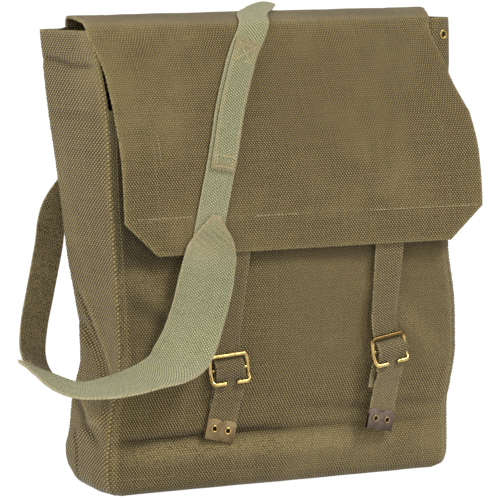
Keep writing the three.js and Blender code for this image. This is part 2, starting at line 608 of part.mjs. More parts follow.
// The sheet-metal tip: folded round the strap's end, held by two hollow rivets, scalloped on top.
function tipSolid() {
  const [half, top] = [CLOSURE_WIDTH / 2 + GAP, TIP_LENGTH];
  const low = -GAP - TIP_SHEET;
  const outline = new THREE.Shape();
  outline.moveTo(-half, low);
  outline.lineTo(half, low);
  outline.lineTo(half, top - TIP_SCALLOP);
  const scallop = (cx) => {
    for (const angle of steps(5, 0, Math.PI))
      outline.lineTo(cx + (half / 2) * Math.cos(angle), top - TIP_SCALLOP * (1 - Math.sin(angle)));
  };
  scallop(half / 2);
  scallop(-half / 2);
  outline.lineTo(-half, top - TIP_SCALLOP);
  const depth = WEBBING + 2 * GAP + 2 * TIP_SHEET;
  const block = new THREE.ExtrudeGeometry(outline, { depth, bevelEnabled: false });
  block.translate(0, 0, -depth / 2);
  const slotDepth = WEBBING + 2 * GAP;
  const slot = new THREE.BoxGeometry(4 * half, 2 * top, slotDepth).translate(0, top - GAP, 0);
  let solid = toSolid(block).subtract(toSolid(slot));
  for (const x of [-1, 1]) {
    const place = (g) => g.translate((x * TIP_HOLE_SPACING) / 2, TIP_LENGTH / 2, 0);
    solid = solid.add(toSolid(place(pinGeometry(TIP_HOLE / 2 + TIP_SHEET, slotDepth + TIP_SHEET))));
    solid = solid.subtract(toSolid(place(pinGeometry(TIP_HOLE / 2, 2 * depth))));
  }
  return solid;
}

const STEPS_PER_ROW = 2;
const CHAPE_STEPS = 24;
function closureSolids(closure) {
  const route = closureRoute(closure);
  const rowCount = STEPS_PER_ROW * (route.length - 1);
  const strap = band(route, { count: rowCount, width: () => CLOSURE_WIDTH, thickness: WEBBING });
  const frame = tipFrame(closure, route);
  let pierced = toSolid(strap);
  for (const x of [-1, 1]) {
    const pin = pinGeometry(TIP_HOLE / 2 + TIP_SHEET + GAP, 4 * WEBBING);
    pin.translate((x * TIP_HOLE_SPACING) / 2, TIP_LENGTH / 2, 0).applyMatrix4(frame);
    pierced = pierced.subtract(toSolid(pin));
  }
  const chape = band(chapeRoute(closure), {
    count: CHAPE_STEPS,
    width: () => CLOSURE_WIDTH - GAP,
    thickness: WEBBING,
  });
  return {
    strap: toGeometry(pierced),
    tip: toGeometry(tipSolid()).applyMatrix4(frame),
    chape,
    buckle: buckleSolid(closure),
  };
}

// Eyelet in the right gusset's upper front corner

function eyeletFrame() {
  const z = BODY_HEIGHT - EYELET_FROM_TOP;
  const share = EYELET_FROM_EDGE / BODY_DEPTH;
  const point = wallPoint("right", share, z);
  const ahead = wallPoint("right", share + SLOPE_STEP, z).sub(point).normalize();
  const up = vec(0, 0, 1);
  const out = ahead.clone().cross(up).normalize();
  return new THREE.Matrix4().makeBasis(ahead, up, out).setPosition(point);
}

function eyeletRing() {
  const bore = EYELET_HOLE / 2;
  const tube = bore + EYELET_TUBE;
  const reach = CLOTH / 2 + GAP;
  const profile = [
    [bore, -reach - EYELET_FLANGE],
    [EYELET_RIM / 2, -reach - EYELET_FLANGE],
    [EYELET_RIM / 2, -reach],
    [tube, -reach],
    [tube, reach],
    [EYELET_RIM / 2, reach],
    [EYELET_RIM / 2, reach + EYELET_FLANGE],
    [bore, reach + EYELET_FLANGE],
    [bore, -reach - EYELET_FLANGE],
  ].map(([r, h]) => new THREE.Vector2(r, h));
  const ring = new THREE.LatheGeometry(profile, 14).rotateX(Math.PI / 2);
  return ring.applyMatrix4(eyeletFrame());
}

function piercedGusset(geometry) {
  const pin = pinGeometry(EYELET_HOLE / 2 + EYELET_TUBE + GAP, 6 * CLOTH).applyMatrix4(eyeletFrame());
  return toGeometry(toSolid(geometry).subtract(toSolid(pin)));
}

// Shoulder strap

// Rows on the flap's outer side, `lift` in front of its middle surface.
function flapRow({ across, along }, lift) {
  const point = flapPoint(across, along);
  const run = flapPoint(across + SLOPE_STEP, along).sub(point).normalize();
  const down = flapPoint(across, along + SLOPE_STEP).sub(point).normalize();
  return { point: point.addScaledVector(down.clone().cross(run).normalize(), lift), cross: run };
}

// Rows on the back wall's outer side; `across` runs from the left corner to the right one.
function backRow({ across, up }, lift) {
  const point = wallPoint("back", 1 - across, up * BODY_HEIGHT);
  return { point: point.add(vec(0, lift, 0)), cross: vec(1, 0, 0) };
}

function frontStrapRoute() {
  const lift = ON_CLOTH + 2 * GAP;
  const first = flapRow(STRAP_ON_FLAP[0], lift);
  const left = corner("backLeft", BODY_HEIGHT, 0).x;
  const right = corner("backRight", BODY_HEIGHT, 0).x;
  const across = (first.point.x - left) / (right - left);
  const down = (drop) => backRow({ across, up: 1 - drop / BODY_HEIGHT }, lift);
  return [
    down(STRAP_TUCK),
    down(STRAP_TUCK / 2),
    down(FLAP_RISE),
    ...STRAP_ON_FLAP.map((row) => flapRow(row, lift)),
  ];
}

function loopRoute() {
  const rows = LOOP.map((row) => {
    const [turn, tilt] = [degrees(row.turn), degrees(row.tilt)];
    const level = Math.cos(tilt);
    return {
      point: vec(row.x * BODY_WIDTH, row.y * BODY_DEPTH, row.z * BODY_HEIGHT),
      cross: vec(level * Math.cos(turn), level * Math.sin(turn), Math.sin(tilt)),
    };
  });
  const anchor = LOOP_ANCHOR.map((row) => {
    const placed = backRow(row, ON_CLOTH + GAP - REAR_UNDER_PAD);
    placed.cross = vec(-1, 0, 0.35).normalize();
    return placed;
  });
  return [...rows, ...anchor];
}

// The rows of the loop where the wide part ends and where the narrow strap under it begins
const PAD_ROWS = 12.5;
const REAR_START_ROW = 11.5;
// The front part's stretch that the sewn lap covers
const LAP = { from: 0.69, to: 0.885, count: 10 };
function shoulderSolids() {
  const front = frontStrapRoute();
  const loop = loopRoute();
  const loopRows = loop.length - 1;
  const padWidth = (t) => {
    const place = Math.min(t * loopRows, LOOP.length - 1);
    const i = Math.min(Math.floor(place), LOOP.length - 2);
    return PAD_WIDTH * THREE.MathUtils.lerp(LOOP[i].wide, LOOP[i + 1].wide, place - i);
  };
  const narrow = () => STRAP_WIDTH;
  return {
    shoulder_strap_front: band(front, {
      count: (front.length - 1) * STEPS_PER_ROW,
      width: narrow,
      thickness: WEBBING,
    }),
    shoulder_strap_lap: band(front, {
      ...LAP,
      width: () => STRAP_WIDTH - 4 * GAP,
      thickness: WEBBING,
      offset: LAYER,
    }),
    shoulder_strap_pad: band(loop, {
      to: PAD_ROWS / loopRows,
      count: PAD_ROWS * STEPS_PER_ROW,
      width: padWidth,
      thickness: PAD_THICKNESS,
      columns: 4,
    }),
    shoulder_strap_rear: band(loop, {
      from: REAR_START_ROW / loopRows,
      count: (loopRows - REAR_START_ROW) * STEPS_PER_ROW,
      width: narrow,
      thickness: WEBBING,
      offset: -REAR_UNDER_PAD,
    }),
  };
}

// Finishes
const canvas = { color: 0x776845, roughness: 0.9, metalness: 0 };
const webbing = { color: 0x6f6848, roughness: 0.88, metalness: 0 };
const paleWebbing = { color: 0x969c76, roughness: 0.88, metalness: 0 };
const brass = { color: 0xc89a4a, roughness: 0.32, metalness: 1 };
const darkBrass = { color: 0x6a5a4e, roughness: 0.5, metalness: 1 };

const haversack = new THREE.Group();
function place(name, geometry, finish) {
  const mesh = new THREE.Mesh(geometry, new THREE.MeshStandardMaterial(finish));
  mesh.name = name;
  haversack.add(mesh);
}

place("front_panel", wallSheet("front", BODY_WIDTH, BODY_WIDTH / 13), canvas);
place("back_panel", wallSheet("back", BODY_WIDTH, BODY_WIDTH / 8), canvas);
place("gusset_left", wallSheet("left", BODY_DEPTH, BODY_DEPTH / 6), canvas);
place("gusset_right", piercedGusset(wallSheet("right", BODY_DEPTH, BODY_DEPTH / 5)), canvas);
place("base_panel", baseSheet(), canvas);
place("flap", flapSheet(), canvas);
for (const closure of CLOSURES) {
  const solids = closureSolids(closure);
  place(`closure_strap_${closure.side}`, solids.strap, webbing);
  place(`buckle_chape_${closure.side}`, solids.chape, webbing);
  place(`buckle_${closure.side}`, solids.buckle, brass);
  place(`strap_tip_${closure.side}`, solids.tip, closure.side === "left" ? brass : darkBrass);
}
place("eyelet_right", eyeletRing(), brass);
const shoulder = shoulderSolids();
for (const [name, geometry] of Object.entries(shoulder))
  place(name, geometry, name === "shoulder_strap_rear" ? webbing : paleWebbing);

export default haversack;
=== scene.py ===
"""Looks of a canvas haversack: panels, flap, closures and shoulder strap in their own cloth.

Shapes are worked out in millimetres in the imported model's frame and become metres in `Cloth.build`.
The front faces -Y, +Z is up, and the origin is the middle of the base.
"""

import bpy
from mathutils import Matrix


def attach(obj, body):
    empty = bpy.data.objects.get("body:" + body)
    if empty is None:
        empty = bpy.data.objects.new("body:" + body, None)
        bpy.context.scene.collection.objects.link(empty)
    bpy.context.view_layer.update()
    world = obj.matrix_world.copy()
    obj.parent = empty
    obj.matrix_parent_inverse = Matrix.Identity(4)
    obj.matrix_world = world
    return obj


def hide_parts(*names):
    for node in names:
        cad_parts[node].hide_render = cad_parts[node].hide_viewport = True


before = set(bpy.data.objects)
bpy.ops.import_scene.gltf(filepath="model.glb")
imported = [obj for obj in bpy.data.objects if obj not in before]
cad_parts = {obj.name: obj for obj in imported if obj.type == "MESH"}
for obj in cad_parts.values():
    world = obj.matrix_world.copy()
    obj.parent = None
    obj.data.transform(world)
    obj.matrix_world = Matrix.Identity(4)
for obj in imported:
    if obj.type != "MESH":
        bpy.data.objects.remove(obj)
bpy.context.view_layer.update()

import math

import bmesh
import bpy
import numpy as np
from mathutils import Matrix, Vector, noise

MM = 0.001

# The bag's own sizes, in millimetres
BODY_WIDTH = 330
BODY_DEPTH = 102
BODY_HEIGHT = 385
FRONT_HEIGHT = 320
CLOTH = 2
GAP = 0.3
CORNER_RADIUS = 10
BASE_RADIUS = 9
FLAP_WIDTH = 323
FLAP_RISE = 9
FLAP_DROP = 186
FLAP_AHEAD = 7.5
FLAP_CHAMFER = 29
FLAP_CUT_LENGTH = 306
HEM = 21
FLAP_HEM = 31
HEM_THICKNESS = 0.7
WEBBING = 1.6
CLOSURE_WIDTH = 25.4
CLOSURE_TUCK = 38
CLOSURE_TAIL = 58
CHAPE_TUCK = 34
CHAPE_LEAF = 21
BUCKLE_WIDTH = 36
BUCKLE_HEIGHT = 26
BUCKLE_WIRE = 3.2
BUCKLE_BEND = 4
PRONG_GAP = 9
TIP_LENGTH = 17
TIP_SHEET = 0.7
TIP_HOLE = 3.6
TIP_HOLE_SPACING = 12
EYELET_HOLE = 4.5
EYELET_TUBE = 0.6
EYELET_RIM = 8.2
EYELET_FLANGE = 0.5
EYELET_FROM_EDGE = 11.5
EYELET_FROM_TOP = 12
STRAP_WIDTH = 25.4
STRAP_TUCK = 62
PAD_WIDTH = 49
PAD_THICKNESS = 2.2
ROUND_SHARE = 0.06
SLOPE_STEP = 1e-3

LAYER = WEBBING + GAP
REAR_UNDER_PAD = PAD_THICKNESS / 2 + 2 * GAP + WEBBING / 2
ON_CLOTH = CLOTH / 2 + GAP + WEBBING / 2
WIRE_ON_WEBBING = WEBBING / 2 + GAP + BUCKLE_WIRE / 2
BAR_OUT = ON_CLOTH + WIRE_ON_WEBBING
PRONG_OUT = ON_CLOTH + 2 * LAYER + WIRE_ON_WEBBING
BAR_UP = (BUCKLE_HEIGHT - BUCKLE_WIRE) / 2
LOOP_RADIUS = BUCKLE_WIRE / 2 + GAP + WEBBING / 2
# The flap's path per unit of its share, over the hanging length, which starts at FLAP_BEND
FLAP_BEND = 0.38
FLAP_HANG = 1 / (1 - FLAP_BEND)


def table(columns, rows):
    """A small table whose columns are read by name."""
    return {name: np.array(values, float) for name, values in zip(columns.split(), zip(*rows))}


# The body's outline at each height, as shares of its height and of half its width
SECTIONS = table(
    "at frontLeft frontRight backLeft backRight",
    [
        (0.0, 0.935, 0.915, 0.94, 0.94),
        (0.05, 0.945, 0.925, 0.985, 0.965),
        (0.12, 0.935, 0.925, 0.97, 0.96),
        (0.19, 0.915, 0.95, 0.955, 0.95),
        (0.27, 0.875, 0.985, 0.91, 0.955),
        (0.38, 0.87, 0.98, 0.925, 0.965),
        (0.5, 0.88, 0.945, 0.965, 0.975),
        (0.65, 0.895, 0.95, 1.0, 0.99),
        (0.83, 0.905, 0.97, 1.055, 1.015),
        (1.0, 0.975, 0.975, 1.085, 1.035),
    ],
)

# How far each wall swells between its corners, as a share of the body's depth
SWELL = table(
    "at front back left right",
    [
        (0.0, 0.0, 0.0, 0.0, 0.0),
        (0.06, 0.03, 0.015, 0.05, 0.04),
        (0.2, 0.02, 0.02, 0.0, 0.05),
        (0.3, 0.02, 0.025, -0.03, 0.06),
        (0.5, 0.022, 0.03, 0.01, 0.05),
        (0.8, 0.018, 0.02, 0.02, 0.03),
        (1.0, 0.0, 0.0, 0.0, 0.0),
    ],
)

# Creases pressed into the walls: wall, up and upEnd as shares of the height, depth as a share of
# the body's depth, width as a share of the height, and the shares of the wall between which it fades
CREASES = [
    ("front", 0.122, 0.115, 0.042, 0.016, 0.35, 1.5),
    ("front", 0.075, 0.07, -0.016, 0.03, 0.4, 1.6),
    ("left", 0.935, 0.935, 0.02, 0.01, 0.9, 1.6),
    ("left", 0.36, 0.19, 0.05, 0.018, 0.7, 1.2),
    ("left", 0.07, 0.2, -0.035, 0.03, 0.8, 1.3),
    ("right", 0.16, 0.1, 0.04, 0.02, 0.6, 1.4),
]

# The flap from its seam on the back's top edge to its hem
FLAP = table(
    "at out rise ahead drop shift span flare",
    [
        (0.0, 0.98, 0.0, 0, 0, 0.028, 1.0, 0),
        (0.02, 0.98, 0.6, 0, 0, 0.028, 1.0, 0),
        (0.045, 0.9, 0.98, 0, 0, 0.027, 1.0, 0),
        (0.11, 0.52, 1.04, 0, 0, 0.016, 0.995, 0),
        (0.19, 0.05, 0.95, 0, 0, 0.0, 0.985, 0),
        (0.27, -0.45, 0.8, 0, 0, -0.016, 0.97, 0),
        (0.34, -0.9, 0.6, 0, 0, -0.026, 0.96, 0),
        (0.37, -1.0, 0.22, 0.6, 0.0, -0.024, 0.955, 0),
        (0.405, -1.0, 0.0, 0.95, 0.045, -0.015, 0.95, 0.05),
        (0.48, -1.0, 0.0, 1.0, 0.16, 0.003, 0.95, 0.15),
        (0.6, -1.0, 0.0, 1.0, 0.35, 0.024, 0.953, 0.5),
        (0.73, -1.0, 0.0, 1.0, 0.56, 0.052, 0.974, 0.9),
        (0.88, -1.0, 0.0, 1.0, 0.81, 0.062, 0.984, 1.2),
        (1.0, -1.0, 0.0, 1.0, 1.0, 0.062, 0.984, 1.25),
    ],
)

# The two closures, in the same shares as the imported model's source
CLOSURES = {
    "left": dict(top=-0.127, buckle=-0.152, up=0.265, tail=-0.044, long=1, roll=4, yaw=0, proud=0),
    "right": dict(top=0.291, buckle=0.28, up=0.283, tail=-0.06, long=1.13, roll=7, yaw=12, proud=0.105),
}

# A closure strap's side view at its buckle: the share of the way to the outer bars, and the height
STRAP_WEAVE = [
    (2.2, ON_CLOTH),
    (1.35, ON_CLOTH),
    (1.0, ON_CLOTH),
    (0.76, ON_CLOTH + 0.2 * LAYER),
    (0.4, BAR_OUT + LOOP_RADIUS - GAP),
    (0.0, BAR_OUT + LOOP_RADIUS + LAYER),
    (-0.42, BAR_OUT + LOOP_RADIUS + 0.3 * LAYER),
    (-0.76, ON_CLOTH + 2.2 * LAYER),
    (-1.0, ON_CLOTH + 2 * LAYER),
    (-1.4, ON_CLOTH + 2 * LAYER),
]

# The shoulder strap's front part over the flap, in shares across and along the flap
STRAP_ON_FLAP = [
    (0.536, 0.002),
    (0.535, 0.022),
    (0.532, 0.045),
    (0.513, 0.11),
    (0.489, 0.19),
    (0.467, 0.27),
    (0.448, 0.34),
    (0.436, 0.37),
    (0.418, 0.405),
    (0.377, 0.48),
    (0.325, 0.6),
    (0.277, 0.73),
    (0.237, 0.88),
    (0.222, 0.955),
]

# The wide part and the loop behind it: x, y, z as shares of the body's width, depth and height,
# the turn and tilt of the cross line in degrees, and the share of the wide part's width
LOOP = [
    (-0.174, -0.628, 0.598, 2, -14, 0.3),
    (-0.186, -0.628, 0.562, 2, -15, 0.66),
    (-0.2, -0.63, 0.522, 2, -16, 0.93),
    (-0.218, -0.64, 0.46, 0, -18, 1),
    (-0.244, -0.655, 0.388, -6, -22, 0.96),
    (-0.281, -0.71, 0.325, -26, -28, 0.96),
    (-0.33, -0.79, 0.29, -62, -20, 1),
    (-0.39, -0.83, 0.275, -84, -15, 1),
    (-0.452, -0.81, 0.262, -98, -14, 1),
    (-0.505, -0.71, 0.254, -102, -9, 1),
    (-0.548, -0.52, 0.252, -104, -3, 1),
    (-0.578, -0.26, 0.259, -112, 3, 0.86),
    (-0.592, 0.03, 0.275, -138, 6, 0.62),
    (-0.591, 0.22, 0.302, -158, 6, 0.52),
    (-0.575, 0.36, 0.352, -168, 6, 0.52),
    (-0.548, 0.46, 0.422, -174, 8, 0.52),
    (-0.517, 0.535, 0.515, -178, 11, 0.52),
    (-0.492, 0.575, 0.6, -180, 15, 0.52),
]
LOOP_ANCHOR = [(0.1, 0.72), (0.135, 0.8), (0.165, 0.865)]
LOOP_STEPS = len(LOOP) + len(LOOP_ANCHOR) - 1
REAR_START_ROW = 11.5
# The wide part's cloth ends a little before its solid does
PAD_END_ROW = 12.2


def read(rows, column, at):
    """Reads one column of a table at shares, along a smooth curve through its rows."""
    places, values = rows["at"], rows[column]
    last = len(places) - 1
    at = np.asarray(at, float)
    i = np.clip(np.searchsorted(places, at, side="left") - 1, 0, last - 1)
    low = np.maximum(np.arange(last + 1) - 1, 0)
    high = np.minimum(np.arange(last + 1) + 1, last)
    slopes = (values[high] - values[low]) / (places[high] - places[low])
    span = places[i + 1] - places[i]
    t = (at - places[i]) / span
    rise = (values[i + 1] - values[i]) / span

    def held(slope):
        kept = np.sign(slope) * np.minimum(np.abs(slope), 3 * np.abs(rise))
        return np.where(slope * rise <= 0, 0, kept) * span

    first, second = held(slopes[i]), held(slopes[i + 1])
    return (
        (2 * t**3 - 3 * t**2 + 1) * values[i]
        + (t**3 - 2 * t**2 + t) * first
        + (3 * t**2 - 2 * t**3) * values[i + 1]
        + (t**3 - t**2) * second
    )


def smoothstep(low, high, value):
    t = np.clip((value - low) / (high - low), 0, 1)
    return t * t * (3 - 2 * t)


def mix(a, b, t):
    return a + (b - a) * t


def unit(vectors):
    return vectors / np.maximum(np.linalg.norm(vectors, axis=-1, keepdims=True), 1e-9)


def stack(x, y, z):
    return np.stack(np.broadcast_arrays(x, y, z), axis=-1).astype(float)


# Body

CORNERS = ["frontLeft", "frontRight", "backRight", "backLeft"]
WALLS = ["front", "right", "back", "left"]


def corner(name, z, inset=0.0):
    """A corner of the body's outline at a height, drawn in by inset on both sides."""
    x = read(SECTIONS, name, np.clip(z / BODY_HEIGHT, 0, 1)) * BODY_WIDTH / 2 - CLOTH / 2 - inset
    y = BODY_DEPTH / 2 - CLOTH / 2 - inset + 0 * x
    return np.stack([-x if name.endswith("Left") else x, -y if name.startswith("front") else y], -1)


def round_at(here, ahead, behind):
    """The length of a corner's round along its wall, and where on it the mitred seam lies."""
    cosine = np.sum(unit(ahead - here) * unit(behind - here), -1)
    half = np.arccos(np.clip(cosine, -1, 1)) / 2
    reach = CORNER_RADIUS / np.tan(half)
    return reach, reach - CORNER_RADIUS * np.cos(half) + GAP * math.sqrt(0.5)


def crease_depth(wall, u, z):
    depth = 0 * (u + z)
    ends = np.clip(np.minimum(8 * u, 8 * (1 - u)), 0, 1)
    for name, up, up_end, deep, wide, full, gone in CREASES:
        if name != wall:
            continue
        away = (z - mix(up, up_end, u) * BODY_HEIGHT) / (wide * BODY_HEIGHT)
        fade = 1 - smoothstep(full, gone, u)
        depth = depth + deep * BODY_DEPTH * np.exp(-away * away) * fade * ends
    return depth


def wall_point(wall, u, z, inset=0.0):
    """Points of a wall's middle surface: u runs from its first corner seam to its second."""
    u, z, inset = np.broadcast_arrays(np.asarray(u, float), np.asarray(z, float), inset)
    first = WALLS.index(wall)
    start_corner, end_corner, after, before = [
        corner(CORNERS[(first + k) % 4], z, inset) for k in range(4)
    ]
    start_reach, start_seam = round_at(start_corner, end_corner, before)
    end_reach, end_seam = round_at(end_corner, start_corner, after)
    run = end_corner - start_corner
    length = np.linalg.norm(run, axis=-1)
    ahead = run / length[..., None]
    d = start_seam + u * (length - start_seam - end_seam)
    near = np.clip(np.maximum(start_reach - d, end_reach - (length - d)), 0, CORNER_RADIUS)
    bend = CORNER_RADIUS - np.sqrt(CORNER_RADIUS**2 - near**2)
    swell = read(SWELL, wall, np.clip(z / BODY_HEIGHT, 0, 1)) * BODY_DEPTH
    out = swell * np.sin(math.pi * d / length) - bend - crease_depth(wall, u, z)
    x = start_corner[..., 0] + ahead[..., 0] * d + ahead[..., 1] * out
    y = start_corner[..., 1] + ahead[..., 1] * d - ahead[..., 0] * out
    return stack(x, y, z)


def wall_top(wall):
    return FRONT_HEIGHT if wall == "front" else BODY_HEIGHT


def wall_surface(wall):
    """A wall from the base's seam, round the base's edge and up to its top edge."""
    low, foot = CLOTH / 2, CLOTH / 2 + BASE_RADIUS

    def surface(u, v):
        angle = (1 - np.clip(v / ROUND_SHARE, -1, 1)) * math.pi / 2
        share = (v - ROUND_SHARE) / (1 - ROUND_SHARE)
        rounded = v < ROUND_SHARE
        z = np.where(rounded, low + BASE_RADIUS * (1 - np.sin(angle)), mix(foot, wall_top(wall), share))
        inset = np.where(rounded, BASE_RADIUS * (1 - np.cos(angle)), 0)
        return wall_point(wall, u, z, inset)

    return surface


def base_surface(u, v):
    """The base, between the walls' turned-in feet."""
    z, inset = CLOTH / 2, BASE_RADIUS + GAP
    front, back = wall_point("front", u, z, inset), wall_point("back", 1 - u, z, inset)
    left, right = wall_point("left", 1 - v, z, inset), wall_point("right", v, z, inset)
    ends = [wall_point("front", k + 0 * u, z, inset) for k in (0, 1)]
    far_ends = [wall_point("back", 1 - k + 0 * u, z, inset) for k in (0, 1)]
    across, along = u[..., None], v[..., None]
    ruled = mix(front, back, along) + mix(left, right, across)
    ruled -= mix(mix(ends[0], ends[1], across), mix(far_ends[0], far_ends[1], across), along)
    ruled[..., 2] = z
    return ruled


# Flap


def flap_point(across, along):
    across, along = np.broadcast_arrays(np.asarray(across, float), np.asarray(along, float))
    at = np.clip(along, 0, 1)
    x = FLAP_WIDTH * (read(FLAP, "shift", at) + read(FLAP, "span", at) * (across - 0.5))
    flare = read(FLAP, "flare", at) * np.maximum(across - 0.45, 0) ** 2
    y = read(FLAP, "out", at) * BODY_DEPTH / 2 - (read(FLAP, "ahead", at) + 2 * flare) * FLAP_AHEAD
    z = BODY_HEIGHT + GAP + read(FLAP, "rise", at) * FLAP_RISE - read(FLAP, "drop", at) * FLAP_DROP
    return stack(x, y, z + (along - at) * FLAP_DROP * np.where(along > 1, -1, 1))


def flap_surface(u, v):
    """The flap with its two cut corners."""
    from_hem = (1 - v) * FLAP_DROP * FLAP_HANG
    cut = np.maximum(FLAP_CHAMFER - from_hem, 0) / FLAP_WIDTH
    return flap_point(cut + u * (1 - 2 * cut), v)


def flap_row(across, along, lift):
    """A row on the flap: its point, lift over the cloth's middle, and its cross line."""
    point = flap_point(across, along)
    run = unit(flap_point(across + SLOPE_STEP, along) - point)
    down = unit(flap_point(across, along + SLOPE_STEP) - point)
    return point + unit(np.cross(down, run)) * lift, run


def back_row(across, up, lift, cross=(1, 0, 0)):
    point = wall_point("back", 1 - across, up * BODY_HEIGHT)
    return point + np.array([0, lift, 0]), unit(np.array(cross, float))


# Webbing bands


class Route:
    """A smooth centre line through rows of points and cross lines, read at shares of its rows."""

    def __init__(self, rows):
        self.points = np.array([np.asarray(point, float) for point, cross in rows])
        self.crosses = np.array([np.asarray(cross, float) for point, cross in rows])
        self.last = len(rows) - 1
        shares = np.linspace(0, 1, 1201)
        runs = np.linalg.norm(np.diff(self.at(shares), axis=0), axis=1)
        self.shares, self.lengths = shares, np.concatenate([[0], np.cumsum(runs)])

    def at(self, t):
        place = np.clip(t, 0, 1) * self.last
        i = np.minimum(np.floor(place).astype(int), self.last - 1)
        w = (place - i)[..., None]
        p = self.points
        p1, p2 = p[i], p[i + 1]
        p0 = np.where((i > 0)[..., None], p[np.maximum(i - 1, 0)], 2 * p[0] - p[1])
        beyond = (i + 2 > self.last)[..., None]
        p3 = np.where(beyond, 2 * p[-1] - p[-2], p[np.minimum(i + 2, self.last)])
        d0, d1, d2 = [np.linalg.norm(b - a, axis=-1, keepdims=True) ** 0.5 for a, b in
                      ((p0, p1), (p1, p2), (p2, p3))]
        t1 = ((p1 - p0) / d0 - (p2 - p0) / (d0 + d1) + (p2 - p1) / d1) * d1
        t2 = ((p2 - p1) / d1 - (p3 - p1) / (d1 + d2) + (p3 - p2) / d2) * d1
        cubic = 2 * p1 - 2 * p2 + t1 + t2
        square = -3 * p1 + 3 * p2 - 2 * t1 - t2
        return p1 + t1 * w + square * w**2 + cubic * w**3

    def tangent(self, t):
        t = np.clip(t, 0, 1)
        return unit(self.at(np.minimum(t + 1e-4, 1)) - self.at(np.maximum(t - 1e-4, 0)))

    def cross(self, t):
        place = np.clip(t, 0, 1) * self.last
        i = np.minimum(np.floor(place).astype(int), self.last - 1)
        return unit(mix(self.crosses[i], self.crosses[i + 1], (place - i)[..., None]))

    def length(self, t):
        """The length of the line up to a share of its rows."""
        return np.interp(t, self.shares, self.lengths)

    def share(self, length):
        return np.interp(length, self.lengths, self.shares)

    def frame(self, t):
        """The point, the cross line and the outer side at a share, each square to the tangent."""
        inside = np.clip(t, 0, 1)
        tangent = self.tangent(inside)
        point = self.at(inside) + tangent * ((t - inside) * self.lengths[-1])[..., None]
        cross = self.cross(inside)
        cross = unit(cross - tangent * np.sum(cross * tangent, -1, keepdims=True))
        return point, cross, np.cross(tangent, cross)


def band_surface(route, start, end, width, offset=0.0, aside=None):
    """A band along a route between two shares; width is a function of the share."""

    def surface(u, v):
        u, v = np.broadcast_arrays(np.asarray(u, float), np.asarray(v, float))
        t = start + v * (end - start)
        point, cross, out = route.frame(t)
        across = (u - 0.5) * width(np.clip(t, 0, 1)) + (aside(np.clip(t, 0, 1)) if aside else 0.0)
        return point + cross * across[..., None] + out * offset

    return surface


def closure_frame(closure):
    """A buckle's own frame on the front wall: x across the strap, y up along it, z outwards."""
    front = front_at(closure["buckle"] * BODY_WIDTH, closure["up"] * BODY_HEIGHT,
                     closure["proud"] * BUCKLE_WIDTH)
    turned = Matrix.Rotation(math.radians(closure["yaw"]), 3, "Z")
    roll = math.radians(closure["roll"])
    across = turned @ Vector((math.cos(roll), 0, math.sin(roll)))
    up = turned @ Vector((-math.sin(roll), 0, math.cos(roll)))
    return np.array([across, up, across.cross(up)]), front


def front_at(x, z, lift):
    """The front wall's broad shape, without its creases, lift in front of its middle surface."""
    left, right = corner("frontLeft", z), corner("frontRight", z)
    share = (x - left[..., 0]) / (right[..., 0] - left[..., 0])
    swell = read(SWELL, "front", z / BODY_HEIGHT) * BODY_DEPTH * np.sin(math.pi * share)
    return stack(x, left[..., 1] - swell - lift, z)


def tail_length(closure):
    return closure["long"] * CLOSURE_TAIL


def lean_at(closure, y):
    """How far a closure strap's middle has leaned sideways at a height below its buckle."""
    if y > -BAR_UP:
        return 0.0
    return closure["tail"] * BODY_WIDTH * (y + BAR_UP) / (BAR_UP - tail_length(closure))


def closure_route(closure):
    axes, origin = closure_frame(closure)

    def row(y, out):
        return origin + lean_at(closure, y) * axes[0] + y * axes[1] + out * axes[2], axes[0]

    ends = flap_point(np.array([0.0, 1.0]), 1.0)[:, 0]
    hem_share = (closure["top"] * BODY_WIDTH - ends[0]) / (ends[1] - ends[0])
    tuck = CLOSURE_TUCK / (FLAP_DROP * FLAP_HANG)
    hem, hem_cross = flap_row(hem_share, 1.0, -ON_CLOTH - GAP)
    top = row(STRAP_WEAVE[0][0] * BAR_UP, ON_CLOTH)[0]

    def middle(t):
        wall = front_at(mix(hem[0], top[0], t), mix(hem[2], top[2], t), ON_CLOTH)
        wall[1] = min(wall[1], mix(hem[1], top[1], t))
        return wall, mix(hem_cross, axes[0], t)

    tail = tail_length(closure)
    lower = [
        (-CHAPE_LEAF - WEBBING, 2),
        (-(CHAPE_LEAF + CHAPE_TUCK) / 2, 1.4),
        (-CHAPE_TUCK - WEBBING, 1.2),
        (-(CHAPE_TUCK + tail) / 2, 1),
        (-tail, 1),
    ]
    return Route(
        [flap_row(hem_share, 1 - tuck, -ON_CLOTH - GAP)]
        + [flap_row(hem_share, 1 - tuck / 2, -ON_CLOTH - GAP)]
        + [(hem, hem_cross), middle(0.3), middle(0.7)]
        + [row(bar * BAR_UP, out) for bar, out in STRAP_WEAVE]
        + [row(y, ON_CLOTH + layers * LAYER) for y, layers in lower]
    )


def chape_route(closure):
    """The chape: sewn flat below the buckle, round the centre bar and back down over itself."""
    axes, origin = closure_frame(closure)

    def row(y, out):
        return origin + lean_at(closure, y) * axes[0] + y * axes[1] + out * axes[2], axes[0]

    turns = [
        row(LOOP_RADIUS * math.cos(angle), BAR_OUT + LOOP_RADIUS * math.sin(angle))
        for angle in np.linspace(-math.pi / 2, math.pi / 2, 7)
    ]
    flat = [row(y, ON_CLOTH) for y in (-CHAPE_TUCK, -CHAPE_LEAF, -BAR_UP, -BAR_UP / 2)]
    back = [
        row(-0.28 * BAR_UP, BAR_OUT + 0.72 * LOOP_RADIUS),
        row(-0.55 * BAR_UP, ON_CLOTH + 1.3 * LAYER),
        row(-0.8 * BAR_UP, ON_CLOTH + LAYER),
        row(-BAR_UP, ON_CLOTH + LAYER),
        row(-CHAPE_LEAF, ON_CLOTH + LAYER),
    ]
    return Route(flat + turns + back)


